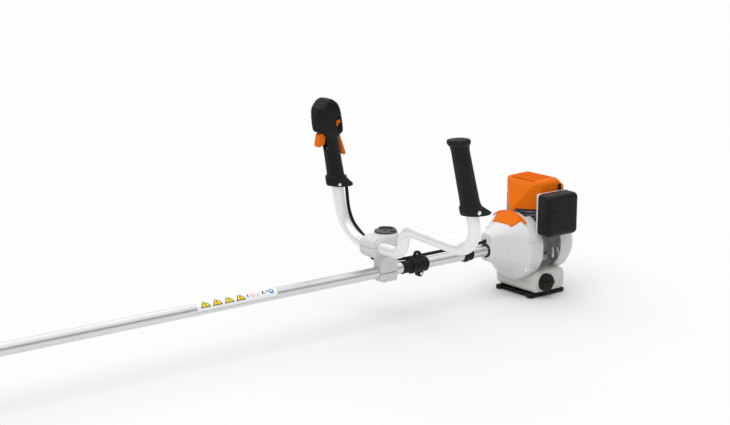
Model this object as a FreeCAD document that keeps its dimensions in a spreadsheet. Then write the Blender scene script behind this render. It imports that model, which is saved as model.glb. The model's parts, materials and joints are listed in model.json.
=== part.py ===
"""Bike-handle brush mower: engine, drive tube, handlebar and bevel-gear cutting head.

Everything is laid out from one working origin, the point where the handle column's
vertical axis crosses the drive-tube axis: X runs back to the engine, Y to the operator's
right and Z up.  At the end all pieces are shifted so that the machine stands on Z = 0
with its bounding box centred on the Z axis.
"""
import FreeCAD, Part
import math
import os
import Sketcher
from FreeCAD import Placement, Rotation, Vector

doc = FreeCAD.newDocument("brush_mower")
sheet = doc.addObject("Spreadsheet::Sheet", "dims")

DIMENSIONS = [
    ("tube_outer", 25.4, "drive tube, outer diameter"),
    ("tube_wall", 1.5, "drive tube, wall"),
    ("tube_front", 1140, "working origin to the front end of the tube"),
    ("tube_rear", 330, "working origin to the rear end of the tube"),
    ("shaft_diameter", 8, "drive shaft"),
    ("running_gap", 0.06, "radial clearance of a shaft in its hole"),
    ("split_gap", 0.3, "gap between pieces that move past each other"),
    ("bar_outer", 25.4, "handlebar, outer diameter"),
    ("bar_wall", 2, "handlebar, wall"),
    ("bar_forward", 33, "handlebar clamp axis ahead of the column axis"),
    ("bar_height", 62, "handlebar clamp axis above the tube axis"),
    ("bar_lean", 11.6, "forward lean of the handlebar plane, degrees"),
    ("column_length", 47, "handle column along the tube"),
    ("column_width", 37, "handle column across the tube"),
    ("column_height", 40, "column top above the tube axis"),
    ("column_corner", 8, "column vertical corner radius"),
    ("clamp_depth", 20.5, "lower clamp half below the tube axis"),
    ("shell_radius", 29.5, "support shells, rear boss radius"),
    ("shell_lobe", 57, "support shells, front face ahead of the column axis"),
    ("shell_half_width", 23, "support shells, half width of the front lobe"),
    ("shell_split", 63.5, "parting plane of the support shells"),
    ("shell_top", 88, "top of the upper shell"),
    ("disc_radius", 25, "clamp screw head radius"),
    ("disc_thickness", 4.2, "clamp screw head thickness"),
    ("screw_shank", 8, "clamp screw shank diameter"),
    ("bow_outer", 22, "folding bow, outer radius"),
    ("bow_inner", 17, "folding bow, inner radius"),
    ("bow_thickness", 3.5, "folding bow thickness"),
    ("cable_diameter", 7.5, "throttle cable sheath"),
    ("sleeve_outer", 29.4, "carrying ring sleeve, outer diameter"),
    ("ring_outer", 36, "carrying ring body, outer diameter"),
    ("ring_start", 68, "carrying ring body, front face"),
    ("ring_length", 44, "carrying ring body length"),
    ("clip_start", 223, "cable clip, front face"),
    ("clip_length", 25, "cable clip length"),
    ("grip_length", 160, "rubber grip length"),
    ("grip_radius", 18.7, "rubber grip radius"),
    ("handle_length", 202, "control handle length"),
    ("stem_radius", 18, "control handle stem radius"),
    ("nose_front", 296, "front face of the clutch housing"),
    ("nose_rear", 372, "rear face of the clutch housing"),
    ("fan_case_radius", 81, "clutch housing and fan case outer radius"),
    ("case_wall", 3, "wall of the engine casings"),
    ("drum_radius", 38, "clutch drum outer radius"),
    ("fan_radius", 70, "flywheel fan outer radius"),
    ("web_radius", 24, "crank web radius"),
    ("crank_throw", 14, "half of the piston stroke"),
    ("crank_middle", 432.5, "cylinder axis behind the working origin"),
    ("bore_radius", 19, "cylinder bore radius"),
    ("fin_radius", 40, "cylinder fin radius"),
    ("fin_count", 8, "number of cooling fins"),
    ("head_height", 118, "top of the cylinder head"),
    ("gear_point", 1180, "crossing of gearbox input and output axes, ahead of the origin"),
    ("output_tilt", 30, "forward tilt of the cutting head axis from vertical, degrees"),
    ("pinion_teeth", 15, "teeth on the bevel pinion"),
    ("gear_teeth", 21, "teeth on the bevel gear"),
    ("cone_length", 14, "outer cone length of the bevel gears"),
    ("blade_radius", 125, "brush knife radius"),
    ("blade_thickness", 2, "brush knife thickness"),
    ("blade_level", 41.5, "blade along the output axis from the gear crossing"),
    ("guard_radius", 150, "deflector skirt outer radius"),
    ("guard_wall", 3, "deflector wall"),
    ("screw_diameter", 4, "case screws"),
]
for row, (alias, number, note) in enumerate(DIMENSIONS, start=1):
    sheet.set(f"A{row}", alias)
    sheet.set(f"B{row}", str(number))
    sheet.set(f"C{row}", note)
    sheet.setAlias(f"B{row}", alias)
doc.recompute()

X, Y, Z = Vector(1, 0, 0), Vector(0, 1, 0), Vector(0, 0, 1)
PIECES = []


def value(expression):
    """The number that an expression over the sheet stands for."""
    if isinstance(expression, (int, float)):
        return float(expression)
    return float(sheet.evalExpression(expression))


def placed(point, along=Z, across=None):
    """Placement at a point whose local Z runs along a direction, local X nearest to across."""
    z_axis = Vector(along).normalize()
    guide = across or (X if abs(z_axis.dot(X)) < 0.9 else Z)
    y_axis = z_axis.cross(guide).normalize()
    x_axis = y_axis.cross(z_axis)
    return Placement(Vector(*point), Rotation(x_axis, y_axis, z_axis))


def bind(obj, **sizes):
    """Set each size, as a number or bound to the sheet by an expression."""
    for prop, size in sizes.items():
        if isinstance(size, str):
            obj.setExpression(prop, size.replace("$", "dims."))
        else:
            setattr(obj, prop, size)


def number(size):
    return value(size.replace("$", "")) if isinstance(size, str) else float(size)


def cylinder(radius, height, point=(0, 0, 0), along=Z):
    obj = doc.addObject("Part::Cylinder", "round_bar")
    bind(obj, Radius=radius, Height=height)
    obj.Placement = placed(point, along)
    return obj


def cone(radius_1, radius_2, height, point=(0, 0, 0), along=Z):
    obj = doc.addObject("Part::Cone", "cone")
    bind(obj, Radius1=radius_1, Radius2=radius_2, Height=height)
    obj.Placement = placed(point, along)
    return obj


def box(length, width, height, centre, along=Z):
    """A box given by its sizes and the middle of its bottom face."""
    obj = doc.addObject("Part::Box", "box")
    bind(obj, Length=length, Width=width, Height=height)
    frame = placed(centre, along)
    corner = Vector(-number(length) / 2, -number(width) / 2, 0)
    obj.Placement = Placement(frame.multVec(corner), frame.Rotation)
    return obj


def fuse(*parts):
    obj = doc.addObject("Part::MultiFuse", "fuse")
    obj.Shapes = list(parts)
    obj.Refine = True
    return obj


def cut(base, *tools):
    obj = doc.addObject("Part::Cut", "cut")
    obj.Base = base
    obj.Tool = tools[0] if len(tools) == 1 else fuse(*tools)
    return obj


def common(first, second):
    obj = doc.addObject("Part::Common", "common")
    obj.Base = first
    obj.Tool = second
    return obj


def group(label, members):
    """Separate solids kept together as one object, so that it can be placed on its own."""
    obj = doc.addObject("Part::Compound", label)
    obj.Links = members
    return obj


def rounded(base, radius, wanted):
    """Round the edges of base for which wanted(edge) holds."""
    doc.recompute()
    edges = [i for i, edge in enumerate(base.Shape.Edges, start=1) if wanted(edge)]
    obj = doc.addObject("Part::Fillet", "fillet")
    obj.Base = base
    obj.Edges = [(i, number(radius), number(radius)) for i in edges]
    return obj


def runs_along(direction):
    """Test for straight edges parallel to a direction."""
    def test(edge):
        if not isinstance(edge.Curve, Part.Line):
            return False
        return abs(edge.Curve.Direction.dot(direction)) > 0.999
    return test


def every_edge(edge):
    return True


def piece(label, obj):
    """Name a finished sub-part."""
    obj.Label = label
    PIECES.append(obj)
    return obj


def shape_piece(label, shape):
    """A sub-part whose form comes from Part's own functions."""
    obj = doc.addObject("Part::Feature", label)
    obj.Shape = shape
    return piece(label, obj)


def sketch_in(body, role, name, offset=0.0):
    """A sketch on one of the body's own origin planes."""
    plane = next(o for o in body.Origin.OriginFeatures if o.Role == role)
    sketch = body.newObject("Sketcher::SketchObject", name)
    sketch.AttachmentSupport = [(plane, "")]
    sketch.MapMode = "FlatFace"
    sketch.AttachmentOffset = Placement(Vector(0, 0, offset), Rotation())
    return sketch


def draw_polygon(sketch, corners):
    """A closed outline whose corner coordinates are numbers or sheet expressions."""
    start = sketch.GeometryCount
    points = [Vector(number(x), number(y), 0) for x, y in corners]
    count = len(points)
    for i in range(count):
        sketch.addGeometry(Part.LineSegment(points[i], points[(i + 1) % count]))
    for i in range(count):
        sketch.addConstraint(Sketcher.Constraint(
            "Coincident", start + i, 2, start + (i + 1) % count, 1))
    for i, corner in enumerate(corners):
        for kind, size in (("DistanceX", corner[0]), ("DistanceY", corner[1])):
            index = sketch.addConstraint(
                Sketcher.Constraint(kind, -1, 1, start + i, 1, number(size)))
            if isinstance(size, str):
                sketch.renameConstraint(index, f"{kind}_{start + i}")
                sketch.setExpression(
                    f"Constraints.{kind}_{start + i}", size.replace("$", "dims."))


def draw_circle(sketch, radius, centre=(0, 0)):
    middle = Vector(number(centre[0]), number(centre[1]), 0)
    index = sketch.addGeometry(Part.Circle(middle, Z, number(radius)))
    sketch.addConstraint(Sketcher.Constraint("DistanceX", -1, 1, index, 3, middle.x))
    sketch.addConstraint(Sketcher.Constraint("DistanceY", -1, 1, index, 3, middle.y))
    size = sketch.addConstraint(Sketcher.Constraint("Radius", index, number(radius)))
    if isinstance(radius, str):
        sketch.renameConstraint(size, f"radius_{index}")
        sketch.setExpression(f"Constraints.radius_{index}", radius.replace("$", "dims."))


def padded(label, draw, length, frame):
    """A body with one sketch padded along its local Z; draw(sketch) makes the outline."""
    body = doc.addObject("PartDesign::Body", label)
    sketch = sketch_in(body, "XY_Plane", label + "_sketch")
    draw(sketch)
    pad = body.newObject("PartDesign::Pad", label + "_pad")
    pad.Profile = sketch
    bind(pad, Length=length)
    body.Placement = frame
    return body


def turned(label, profile, frame):
    """A body of revolution about its local Z; profile holds (radius, height) corners."""
    body = doc.addObject("PartDesign::Body", label)
    sketch = sketch_in(body, "XZ_Plane", label + "_sketch")
    draw_polygon(sketch, profile)
    turn = body.newObject("PartDesign::Revolution", label + "_turn")
    turn.Profile = sketch
    turn.ReferenceAxis = (sketch, ["V_Axis"])
    turn.Angle = 360
    body.Placement = frame
    return body


def ring(label, outer, inner, length, frame):
    return padded(label, lambda s: (draw_circle(s, outer), draw_circle(s, inner)), length, frame)


def soft_corners(points, radii):
    """Straight runs joined by tangent arcs through a list of points."""
    points = [Vector(*p) for p in points]
    edges = []
    last = points[0]
    for i in range(1, len(points) - 1):
        back = (points[i - 1] - points[i]).normalize()
        ahead = (points[i + 1] - points[i]).normalize()
        half_turn = (math.pi - back.getAngle(ahead)) / 2
        reach = radii[i - 1] * math.tan(half_turn)
        start = points[i] + back * reach
        end = points[i] + ahead * reach
        bisector = (back + ahead).normalize()
        middle = points[i] + bisector * (radii[i - 1] / math.cos(half_turn) - radii[i - 1])
        edges.append(Part.LineSegment(last, start).toShape())
        edges.append(Part.Arc(start, middle, end).toShape())
        last = end
    edges.append(Part.LineSegment(last, points[-1]).toShape())
    return Part.Wire(edges)


def natural_radii(points):
    """For each inner point the largest arc that its two runs leave room for."""
    points = [Vector(*p) for p in points]
    radii = []
    for i in range(1, len(points) - 1):
        back = points[i - 1] - points[i]
        ahead = points[i + 1] - points[i]
        half_turn = (math.pi - back.getAngle(ahead)) / 2
        radii.append(0.45 * min(back.Length, ahead.Length) / math.tan(half_turn))
    return radii


def swept(wire, radius):
    """A round bar of one radius along a wire."""
    first = wire.OrderedEdges[0]
    direction = first.tangentAt(first.FirstParameter)
    start = first.valueAt(first.FirstParameter)
    profile = Part.Wire([Part.Circle(start, direction, radius).toShape()])
    return wire.makePipeShell([profile], True, False, 2)


def turn_y(vector, degrees):
    return Rotation(Y, degrees).multVec(vector)


def screw(point, direction, length):
    """A cap screw whose head sits on the given point and whose shank runs along direction."""
    start = Vector(*point)
    return fuse(cylinder(3.3, 3.2, start, -Vector(*direction)),
                cylinder("$screw_diameter / 2", length, start, direction))


# --- drive tube and what is inside it -------------------------------------------------------
tube_radius = value("tube_outer / 2")
tube_front = -value("tube_front")
piece("drive_tube", ring(
    "drive_tube", "$tube_outer / 2", "$tube_outer / 2 - $tube_wall",
    "$tube_front + $tube_rear", placed((tube_front, 0, 0), X)))

BUSH_PLACES = (-1080, -730, -380, -30, 250)
bushes = [ring("shaft_bush", "$tube_outer / 2 - $tube_wall - 0.05",
               "$shaft_diameter / 2 + $running_gap", 20, placed((x, 0, 0), X))
          for x in BUSH_PLACES]
piece("shaft_bushes", group("shaft_bushes", bushes))

# --- handle column and its lower clamp half -------------------------------------------------
half_gap = 0.8


def column_outline(sketch):
    half_x, half_y = "$column_length / 2", "$column_width / 2"
    draw_polygon(sketch, [("-" + half_x, "-" + half_y), (half_x, "-" + half_y),
                          (half_x, half_y), ("-" + half_x, half_y)])


def clamp_block(label, height, frame):
    """A block with rounded vertical corners, the size of the column in plan."""
    body = padded(label, column_outline, height, frame)
    doc.recompute()
    pad = body.Tip
    upright = [f"Edge{i}" for i, edge in enumerate(pad.Shape.Edges, start=1)
               if runs_along(Z)(edge)]
    fillet = body.newObject("PartDesign::Fillet", label + "_corners")
    fillet.Base = (pad, upright)
    bind(fillet, Radius="$column_corner")
    return body


def tube_clearance(length=60, middle=0.0, radius="$tube_outer / 2"):
    return cylinder(radius, length, (middle - length / 2, 0, 0), X)


column_screws = [screw((x, side * 15.3, 3.2 - value("clamp_depth")), Z, 26.8)
                 for x in (-15.5, 15.5) for side in (-1, 1)]
column = clamp_block("column_block", "$column_height - 0.8", placed((0, 0, half_gap)))
shank_hole = cylinder("$screw_shank / 2 + $running_gap", 60, (0, 0, 5))
spring_seat = cylinder(8.5, 30, (0, 0, value("column_height") - 9))
collar = cone(27.2, 25.5, 6, (0, 0, value("column_height") - 6))
piece("handle_column", cut(fuse(column, collar), tube_clearance(), shank_hole, spring_seat,
                           *column_screws))
lower_clamp = clamp_block(
    "clamp_block", "$clamp_depth - 0.8", placed((0, 0, -value("clamp_depth"))))
lower_clamp = rounded(lower_clamp, 2.5, lambda e: abs(e.CenterOfMass.z + value("clamp_depth")) < 0.01)
piece("column_lower_clamp", cut(lower_clamp, tube_clearance(), *column_screws))

SPRING_TURNS = 3
helix = Part.makeHelix(2.3, 2.3 * SPRING_TURNS, 6.6)
coil = Part.Wire(helix.Edges).makePipeShell(
    [Part.Wire([Part.Circle(Vector(6.6, 0, 0), Y, 0.8).toShape()])], True, True)
coil.translate(Vector(0, 0, value("column_height") - 8.15))
shape_piece("clamp_lift_spring", coil)

# --- support shells around the handlebar ----------------------------------------------------
bar_x, bar_z = -value("bar_forward"), value("bar_height")
bar_radius = value("bar_outer / 2")


def shell_blank(label, bottom, top):
    """Plan outline of the shells: a round boss joined to a square front lobe."""
    height = f"{top} - ({bottom})"
    lobe = padded(label + "_lobe", lambda s: draw_polygon(s, [
        ("-$shell_lobe", "-$shell_half_width"), (-6, "-$shell_half_width - 3"),
        (-6, "$shell_half_width + 3"), ("-$shell_lobe", "$shell_half_width")]),
        height, placed((0, 0, number(bottom))))
    boss = cylinder("$shell_radius", height, (0, 0, number(bottom)))
    return rounded(fuse(lobe, boss), 9, lambda e: runs_along(Z)(e) and e.CenterOfMass.x < -40)


def bar_channel():
    return cylinder("$bar_outer / 2 + $running_gap", 120, (bar_x, -60, bar_z), Y)


screw_way = cylinder("$screw_shank / 2 + $running_gap", 80, (0, 0, 30))
lower_blank = shell_blank("lower_shell", "$column_height + $split_gap", "$shell_split - 0.25")
lower_blank = rounded(lower_blank, 5, lambda e: (
    abs(e.CenterOfMass.z - value("column_height + split_gap")) < 0.01 and e.CenterOfMass.x < -8))
piece("support_lower_shell", cut(lower_blank, bar_channel(), screw_way))
upper_blank = shell_blank("upper_shell", "$shell_split + 0.25", "$shell_top")
slope = box(60, 90, 30, (-62, 0, value("shell_top") - 6), Vector(-0.32, 0, 1))
upper_blank = rounded(cut(upper_blank, slope), 4, lambda e: e.CenterOfMass.z > value("shell_split") + 4)
piece("support_upper_shell", cut(upper_blank, bar_channel(), screw_way))

# --- clamp screw with its folding bow -------------------------------------------------------
disc_bottom = value("shell_top") + 0.3
bow_bottom = disc_bottom + value("disc_thickness") + 0.3
piece("clamp_screw", turned("clamp_screw", [
    (0, -74), ("$screw_shank / 2", -74), ("$screw_shank / 2", 0), ("$disc_radius", 0),
    ("$disc_radius", "$disc_thickness - 1"), ("$disc_radius - 1", "$disc_thickness"),
    (0, "$disc_thickness")], placed((0, 0, disc_bottom))))
bow_ring = ring("bow_ring", "$bow_outer", "$bow_inner", "$bow_thickness", placed((0, 0, bow_bottom)))
hinge_height = bow_bottom + value("bow_thickness") / 2
barrels = [cylinder("$bow_thickness / 2", 5, (0, low, hinge_height), Y) for low in (-22, 17)]
piece("clamp_screw_bow", fuse(common(bow_ring, box(40, 80, 20, (20, 0, bow_bottom - 5))), *barrels))

# --- handlebar ------------------------------------------------------------------------------
lean = value("bar_lean")
bar_up = turn_y(Z, -lean)


def on_bar_plane(side, rise):
    """A point of the leaning handlebar plane, from its sideways and upward distance."""
    return Vector(bar_x, 0, bar_z) + Y * side + bar_up * rise


NEAR_TOP, NEAR_CORNER = (-341, 290), (-354, 50)
FAR_TOP, FAR_CORNER = (95, 215), (103.5, 0)
bar_points = [on_bar_plane(*p) for p in (
    NEAR_TOP, NEAR_CORNER, (-125, 64), (-95, 0), FAR_CORNER, FAR_TOP)]
bar_wire = soft_corners(bar_points, (65, 45, 33, 72))
bar_outside = swept(bar_wire, bar_radius)
bar_inside = swept(bar_wire, bar_radius - value("bar_wall"))
shape_piece("handlebar", bar_outside.cut(bar_inside))

near_axis = (on_bar_plane(*NEAR_TOP) - on_bar_plane(*NEAR_CORNER)).normalize()
far_axis = (on_bar_plane(*FAR_TOP) - on_bar_plane(*FAR_CORNER)).normalize()
backward = turn_y(X, -lean)

# --- rubber grip on the operator's left -----------------------------------------------------
grip_foot = on_bar_plane(*NEAR_TOP) - near_axis * (value("grip_length") - 9)
grip_frame = placed(grip_foot, near_axis, backward)
grip_core = turned("grip_core", [
    (0, 0), (23, 0), (23, 15), ("$grip_radius + 1", 27), ("$grip_radius + 0.6", 60),
    ("$grip_radius - 0.6", "$grip_length - 24"), ("$grip_radius + 0.4", "$grip_length - 15"),
    (23.5, "$grip_length - 11"), (23.5, "$grip_length - 5"), (19, "$grip_length - 1"),
    (0, "$grip_length")], grip_frame)
tail = padded("grip_tail", lambda s: draw_polygon(s, [
    (0, 0), (21, 0), (22, -5), (43, -12), (46, -7), (36, 4), (20, 18), (0, 24)]), 20,
    Placement(grip_frame.multVec(Vector(0, 10, 0)), grip_frame.Rotation.multiply(Rotation(X, 90))))
bar_end_room = doc.addObject("Part::Cylinder", "bar_end_room")
bind(bar_end_room, Radius="$bar_outer / 2", Height="$grip_length - 9")
bar_end_room.Placement = grip_frame
grip_screw_place = grip_frame.multVec(Vector(0, 0, 9))
left_screw = fuse(cylinder(4.4, 3, grip_screw_place - Y * 21.4, -Y),
                  cylinder(2, 6, grip_screw_place - Y * 21.4, Y))
piece("left_grip", cut(fuse(grip_core, tail), bar_end_room, left_screw))

# --- control handle on the operator's right -------------------------------------------------
handle_foot = on_bar_plane(*FAR_TOP) - far_axis * 90
handle_frame = placed(handle_foot, far_axis, backward)


def in_handle(x, y, z):
    return handle_frame.multVec(Vector(x, y, z))


def handle_placed(x, y, z, along=Z):
    local = placed((x, y, z), along)
    return handle_frame.multiply(local)


def handle_prism(label, outline, half_width):
    """A side outline (backward, upward) padded to both sides of the handle's middle plane."""
    body = padded(label, lambda s: draw_polygon(s, outline), 2 * half_width, Placement())
    body.Placement = Placement(
        in_handle(0, half_width, 0), handle_frame.Rotation.multiply(Rotation(X, 90)))
    return body


stem = turned("stem", [
    (0, 0), (22, 0), (22, 13), ("$stem_radius + 1", 22), ("$stem_radius", 60),
    ("$stem_radius", "$handle_length - 70"), (0, "$handle_length - 70")], handle_frame)
head = handle_prism("head", [
    (-25, 137.5), (-31, 154), (-31, 169), (-24, 197), (-6, 204), (12, 196.5), (24, 181),
    (27, 162), (27, 137), (17, 119), (-10, 121)], 22)
head = rounded(head, 6, lambda e: abs(abs(handle_frame.inverse().multVec(e.CenterOfMass).y) - 22) < 0.01)
handle_tail = handle_prism("handle_tail", [
    (0, 0), (13.5, 0), (15, -4), (38, -11.5), (42, -9), (43, -5), (26, 13), (14, 26), (0, 26)], 11)
bar_room = doc.addObject("Part::Cylinder", "bar_room")
bind(bar_room, Radius="$bar_outer / 2", Height=90)
bar_room.Placement = handle_frame
trigger_room = handle_prism("trigger_room", [
    (-40, 88.5), (-14, 88.5), (-4, 94), (-4, 132), (-7, 146), (-24, 146), (-25, 129.5),
    (-40, 129.5)], 8.4)
lockout_room = handle_prism("lockout_room", [
    (13, 60), (36, 60), (36, 118), (24, 146), (7, 146), (7, 122), (13, 114)], 5.4)
slide_room = doc.addObject("Part::Box", "slide_room")
bind(slide_room, Length=11, Width=8, Height=30)
slide_room.Placement = handle_placed(7.5, -26, 127)
cable_way = doc.addObject("Part::Cylinder", "cable_way")
bind(cable_way, Radius="$cable_diameter / 2", Height=30)
cable_way.Placement = handle_placed(24.5, 0, -4)
cable_mouth = doc.addObject("Part::Cylinder", "cable_mouth")
bind(cable_mouth, Radius="$cable_diameter / 2 + 0.8", Height=16)
cable_mouth.Placement = handle_placed(24.5, 0, -16)
handle_screw_place = in_handle(-8, 0, 7)
handle_screw = fuse(cylinder(3.6, 3, handle_screw_place - Y * 20.2, -Y),
                    cylinder(2, 6, handle_screw_place - Y * 20.2, Y))


def handle_rod(radius, x, z):
    """A round bar across the control handle, from side to side of its middle plane."""
    rod = doc.addObject("Part::Cylinder", "handle_rod")
    bind(rod, Radius=radius, Height=20)
    rod.Placement = handle_placed(x, -10, z, Y)
    return rod


TRIGGER_PIVOT, LOCKOUT_PIVOT = (-14, 136), (15, 136)
handle_body = fuse(cut(fuse(stem, head, handle_tail), bar_room, trigger_room, lockout_room,
                       slide_room, cable_way, cable_mouth),
                   handle_rod(1.5, *TRIGGER_PIVOT), handle_rod(1.5, *LOCKOUT_PIVOT))


def half_space(side):
    block = doc.addObject("Part::Box", "half_space")
    bind(block, Length=200, Width=60, Height=300)
    block.Placement = handle_frame.multiply(Placement(
        Vector(-100, 0.05 if side > 0 else -60.05, -20), Rotation()))
    return block


piece("control_handle_inner_half", cut(common(handle_body, half_space(-1)), handle_screw))
piece("control_handle_outer_half", common(handle_body, half_space(1)))
piece("grip_screws", group("grip_screws", [left_screw, handle_screw]))

trigger = handle_prism("trigger", [
    (-17, 140), (-11, 140), (-9, 128), (-19.5, 112), (-19, 104), (-36, 101), (-34, 114), (-28, 126),
    (-21, 128.6)], 8)
piece("throttle_trigger", cut(trigger, handle_rod("1.5 + $running_gap", *TRIGGER_PIVOT)))
lockout = handle_prism("lockout", [
    (12, 139), (18, 139), (22, 118), (29, 68), (24.5, 66), (19.6, 72), (18.6, 114), (11, 128)], 5)
piece("trigger_lockout", cut(lockout, handle_rod("1.5 + $running_gap", *LOCKOUT_PIVOT)))
slide_base = doc.addObject("Part::Box", "slide_base")
bind(slide_base, Length=10.4, Width=3, Height=12)
slide_base.Placement = handle_placed(7.8, -21.4, 138)
slide_thumb = doc.addObject("Part::Box", "slide_thumb")
bind(slide_thumb, Length=7, Width=4, Height=5)
slide_thumb.Placement = handle_placed(9.5, -24.8, 143)
piece("stop_slide", fuse(slide_base, slide_thumb))

# --- throttle cable, split where the handlebar tilts and where it swivels --------------------
cable_radius = value("cable_diameter / 2")
cable_side = 8.8
cable_rise = 16.5
cable_points = [
    tuple(in_handle(24.5, 0, 14)), tuple(in_handle(24.5, 0, -14)),
    (-24, 99, 146), (-21, 97, 121), (-19, 88, 97), (-16, 70, 79), (-15, 48, 66),
    (-17, 36.5, 50), (-17, 33, 30), (-8, 29.5, 21), (14, 27, 19), (34, 19, 17.2),
    (58, cable_side, cable_rise), (100, cable_side, cable_rise), (150, cable_side + 0.3, cable_rise),
    (200, cable_side, cable_rise + 0.1), (250, cable_side, cable_rise),
    (282, 7, 17.6), (300, 3, 21.4), (326, -1, 30)]
cable_radii = natural_radii(cable_points)
cable_wire = soft_corners(cable_points, cable_radii)
cable = swept(cable_wire, cable_radius)
print("cable length", round(cable_wire.Length, 1), "volume error",
      round(cable.Volume / (cable_wire.Length * math.pi * cable_radius ** 2) - 1, 5))
print("cable radii", [round(r) for r in cable_radii])
TILT_CUT_Y, SWIVEL_CUT_Z, CUT_GAP = 58, 39, 0.15


def slab(low, high):
    return Part.makeBox(high[0] - low[0], high[1] - low[1], high[2] - low[2], Vector(*low))


FAR = 500
shape_piece("throttle_cable_upper", cable.common(
    slab((-FAR, TILT_CUT_Y + CUT_GAP, 0), (FAR, FAR, FAR))))
shape_piece("throttle_cable_middle", cable.common(
    slab((-FAR, -FAR, SWIVEL_CUT_Z + CUT_GAP), (20, TILT_CUT_Y - CUT_GAP, FAR))))
shape_piece("throttle_cable_lower", cable.common(
    slab((-60, -FAR, -FAR), (FAR, TILT_CUT_Y - CUT_GAP, SWIVEL_CUT_Z - CUT_GAP))))

# --- carrying ring and cable clip on the tube -----------------------------------------------
cable_room = cylinder("$cable_diameter / 2 + 0.4", 400, (20, cable_side, cable_rise), X)
piece("carrying_ring_sleeve", ring(
    "carrying_ring_sleeve", "$sleeve_outer / 2", "$tube_outer / 2", 72, placed((43, 0, 0), X)))
ring_start, ring_length = value("ring_start"), value("ring_length")
ring_middle = ring_start + ring_length / 2
band = cylinder("$ring_outer / 2", "$ring_length", (ring_start, 0, 0), X)
top_lug = fuse(cylinder(9.5, 7, (ring_middle, -3.5, 22.5), Y),
               box(30, 7, 12, (ring_middle, 0, 8)))
bottom_lug = cylinder(8, 12, (ring_middle + 6, -6, -20), Y)
lug_hole = cylinder(4, 20, (ring_middle, -10, 23), Y)
carrying_ring_screw = fuse(cylinder(3.6, 2.5, (ring_middle + 6, -6.1, -20.5), -Y),
                           cylinder(2, 11, (ring_middle + 6, -6.1, -20.5), Y))
piece("carrying_ring", cut(
    fuse(band, top_lug, bottom_lug), cylinder("$sleeve_outer / 2", 60, (60, 0, 0), X),
    lug_hole, cable_room, carrying_ring_screw))
piece("carrying_ring_screw", group("carrying_ring_screw", [carrying_ring_screw]))
clip_start = value("clip_start")
clip = fuse(cylinder("$tube_outer / 2 + 2.7", "$clip_length", (clip_start, 0, 0), X),
            cylinder("$cable_diameter / 2 + 2.2", "$clip_length", (clip_start, cable_side, cable_rise), X))
piece("cable_clip", cut(clip, tube_clearance(60, clip_start + 12),
                        cylinder("$cable_diameter / 2 + 0.6", 60,
                                 (clip_start - 20, cable_side, cable_rise + 0.3), X)))

# --- clutch housing at the engine's nose ----------------------------------------------------
nose_front, nose_rear = value("nose_front"), value("nose_rear")


def nose_section(x, half_y, low, high, corner):
    """A rounded rectangle across the tube, as a wire of eight edges."""
    y_low, y_high = -half_y, half_y
    centres = [(y_high - corner, high - corner, 0), (y_low + corner, high - corner, 90),
               (y_low + corner, low + corner, 180), (y_high - corner, low + corner, 270)]
    arcs = []
    for y, z, first in centres:
        angles = [math.radians(first + step) for step in (0, 45, 90)]
        arcs.append(Part.Arc(*[Vector(x, y + corner * math.cos(a), z + corner * math.sin(a))
                               for a in angles]))
    edges = []
    for i, arc in enumerate(arcs):
        edges.append(arc.toShape())
        edges.append(Part.LineSegment(arc.EndPoint, arcs[(i + 1) % 4].StartPoint).toShape())
    return Part.Wire(edges)


def nose_solid(shrink, front, rear):
    """Loft of the nose from its small front face to the big round rear rim."""
    rim = value("fan_case_radius") - shrink
    sections = [
        nose_section(front, 19 - shrink, -25 + shrink, 40 - shrink, 13 - shrink * 0.9),
        nose_section((front + rear) / 2, 50 - shrink, -53 + shrink, 62 - shrink, 30 - shrink),
        nose_section(rear, rim, -rim, rim, rim - 5)]
    return Part.makeLoft(sections, True, False)


wall = value("case_wall")
nose_outside = nose_solid(0, nose_front, nose_rear)
nose_inside = nose_solid(wall, nose_front + 4, nose_rear + 0.5)
bearing_boss = Part.makeCylinder(18, 46, Vector(nose_front + 2, 0, 0), X)
tube_socket = Part.makeCylinder(tube_radius, 40, Vector(nose_front - 5, 0, 0), X)
bearing_seat = Part.makeCylinder(14, 20, Vector(331, 0, 0), X)
tube_entry = Part.makeCylinder(16.2, 3, Vector(nose_front - 1, 0, 0), X)
nose_cable_hole = swept(cable_wire, cable_radius + 0.3)
clutch_housing = nose_outside.cut(nose_inside).fuse(bearing_boss)
for tool in (tube_socket, bearing_seat, tube_entry, nose_cable_hole):
    clutch_housing = clutch_housing.cut(tool)
shape_piece("clutch_housing", clutch_housing)
piece("tube_entry_seal", ring(
    "tube_entry_seal", 16.2, "$tube_outer / 2", 3.6, placed((nose_front - 1.6, 0, 0), X)))

# --- clutch, flywheel and crankshaft ---------------------------------------------------------
drum_front = 346
piece("clutch_drum", turned("clutch_drum", [
    ("$shaft_diameter / 2", -14), (6, -14), (6, 0), ("$drum_radius", 0), ("$drum_radius", 24),
    ("$drum_radius - 2", 24), ("$drum_radius - 2", 2), ("$shaft_diameter / 2", 2)],
    placed((drum_front, 0, 0), X)))
shoe_ring = ring("shoe_ring", "$drum_radius - 3", 17, 14, placed((drum_front + 6, 0, 0), X))
shoe_arms = [cylinder(3.4, 18, (drum_front + 12, side * 26, 0), X) for side in (-1, 1)]
piece("clutch_shoes", fuse(
    cut(shoe_ring, box(6, 90, 30, (drum_front + 2, 0, 0), X)), *shoe_arms))
fan_disc = 385
flywheel_disc = turned("flywheel_disc", [
    (7.5, -9), (16, -9), (16, 0), ("$fan_radius", 0), ("$fan_radius", 4), (16, 4), (16, 12), (7.5, 12)],
    placed((fan_disc, 0, 0), X))
vanes = []
FAN_VANES = 14
for i in range(FAN_VANES):
    angle = 360 / FAN_VANES * i
    vane = doc.addObject("Part::Box", "vane")
    bind(vane, Length=12.5, Width=24, Height=2.4)
    vane.Placement = Placement(Vector(fan_disc - 12, 0, 0), Rotation(X, angle)).multiply(
        Placement(Vector(0, 44, -1.2), Rotation()))
    vanes.append(vane)
piece("flywheel", fuse(flywheel_disc, *vanes))
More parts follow.
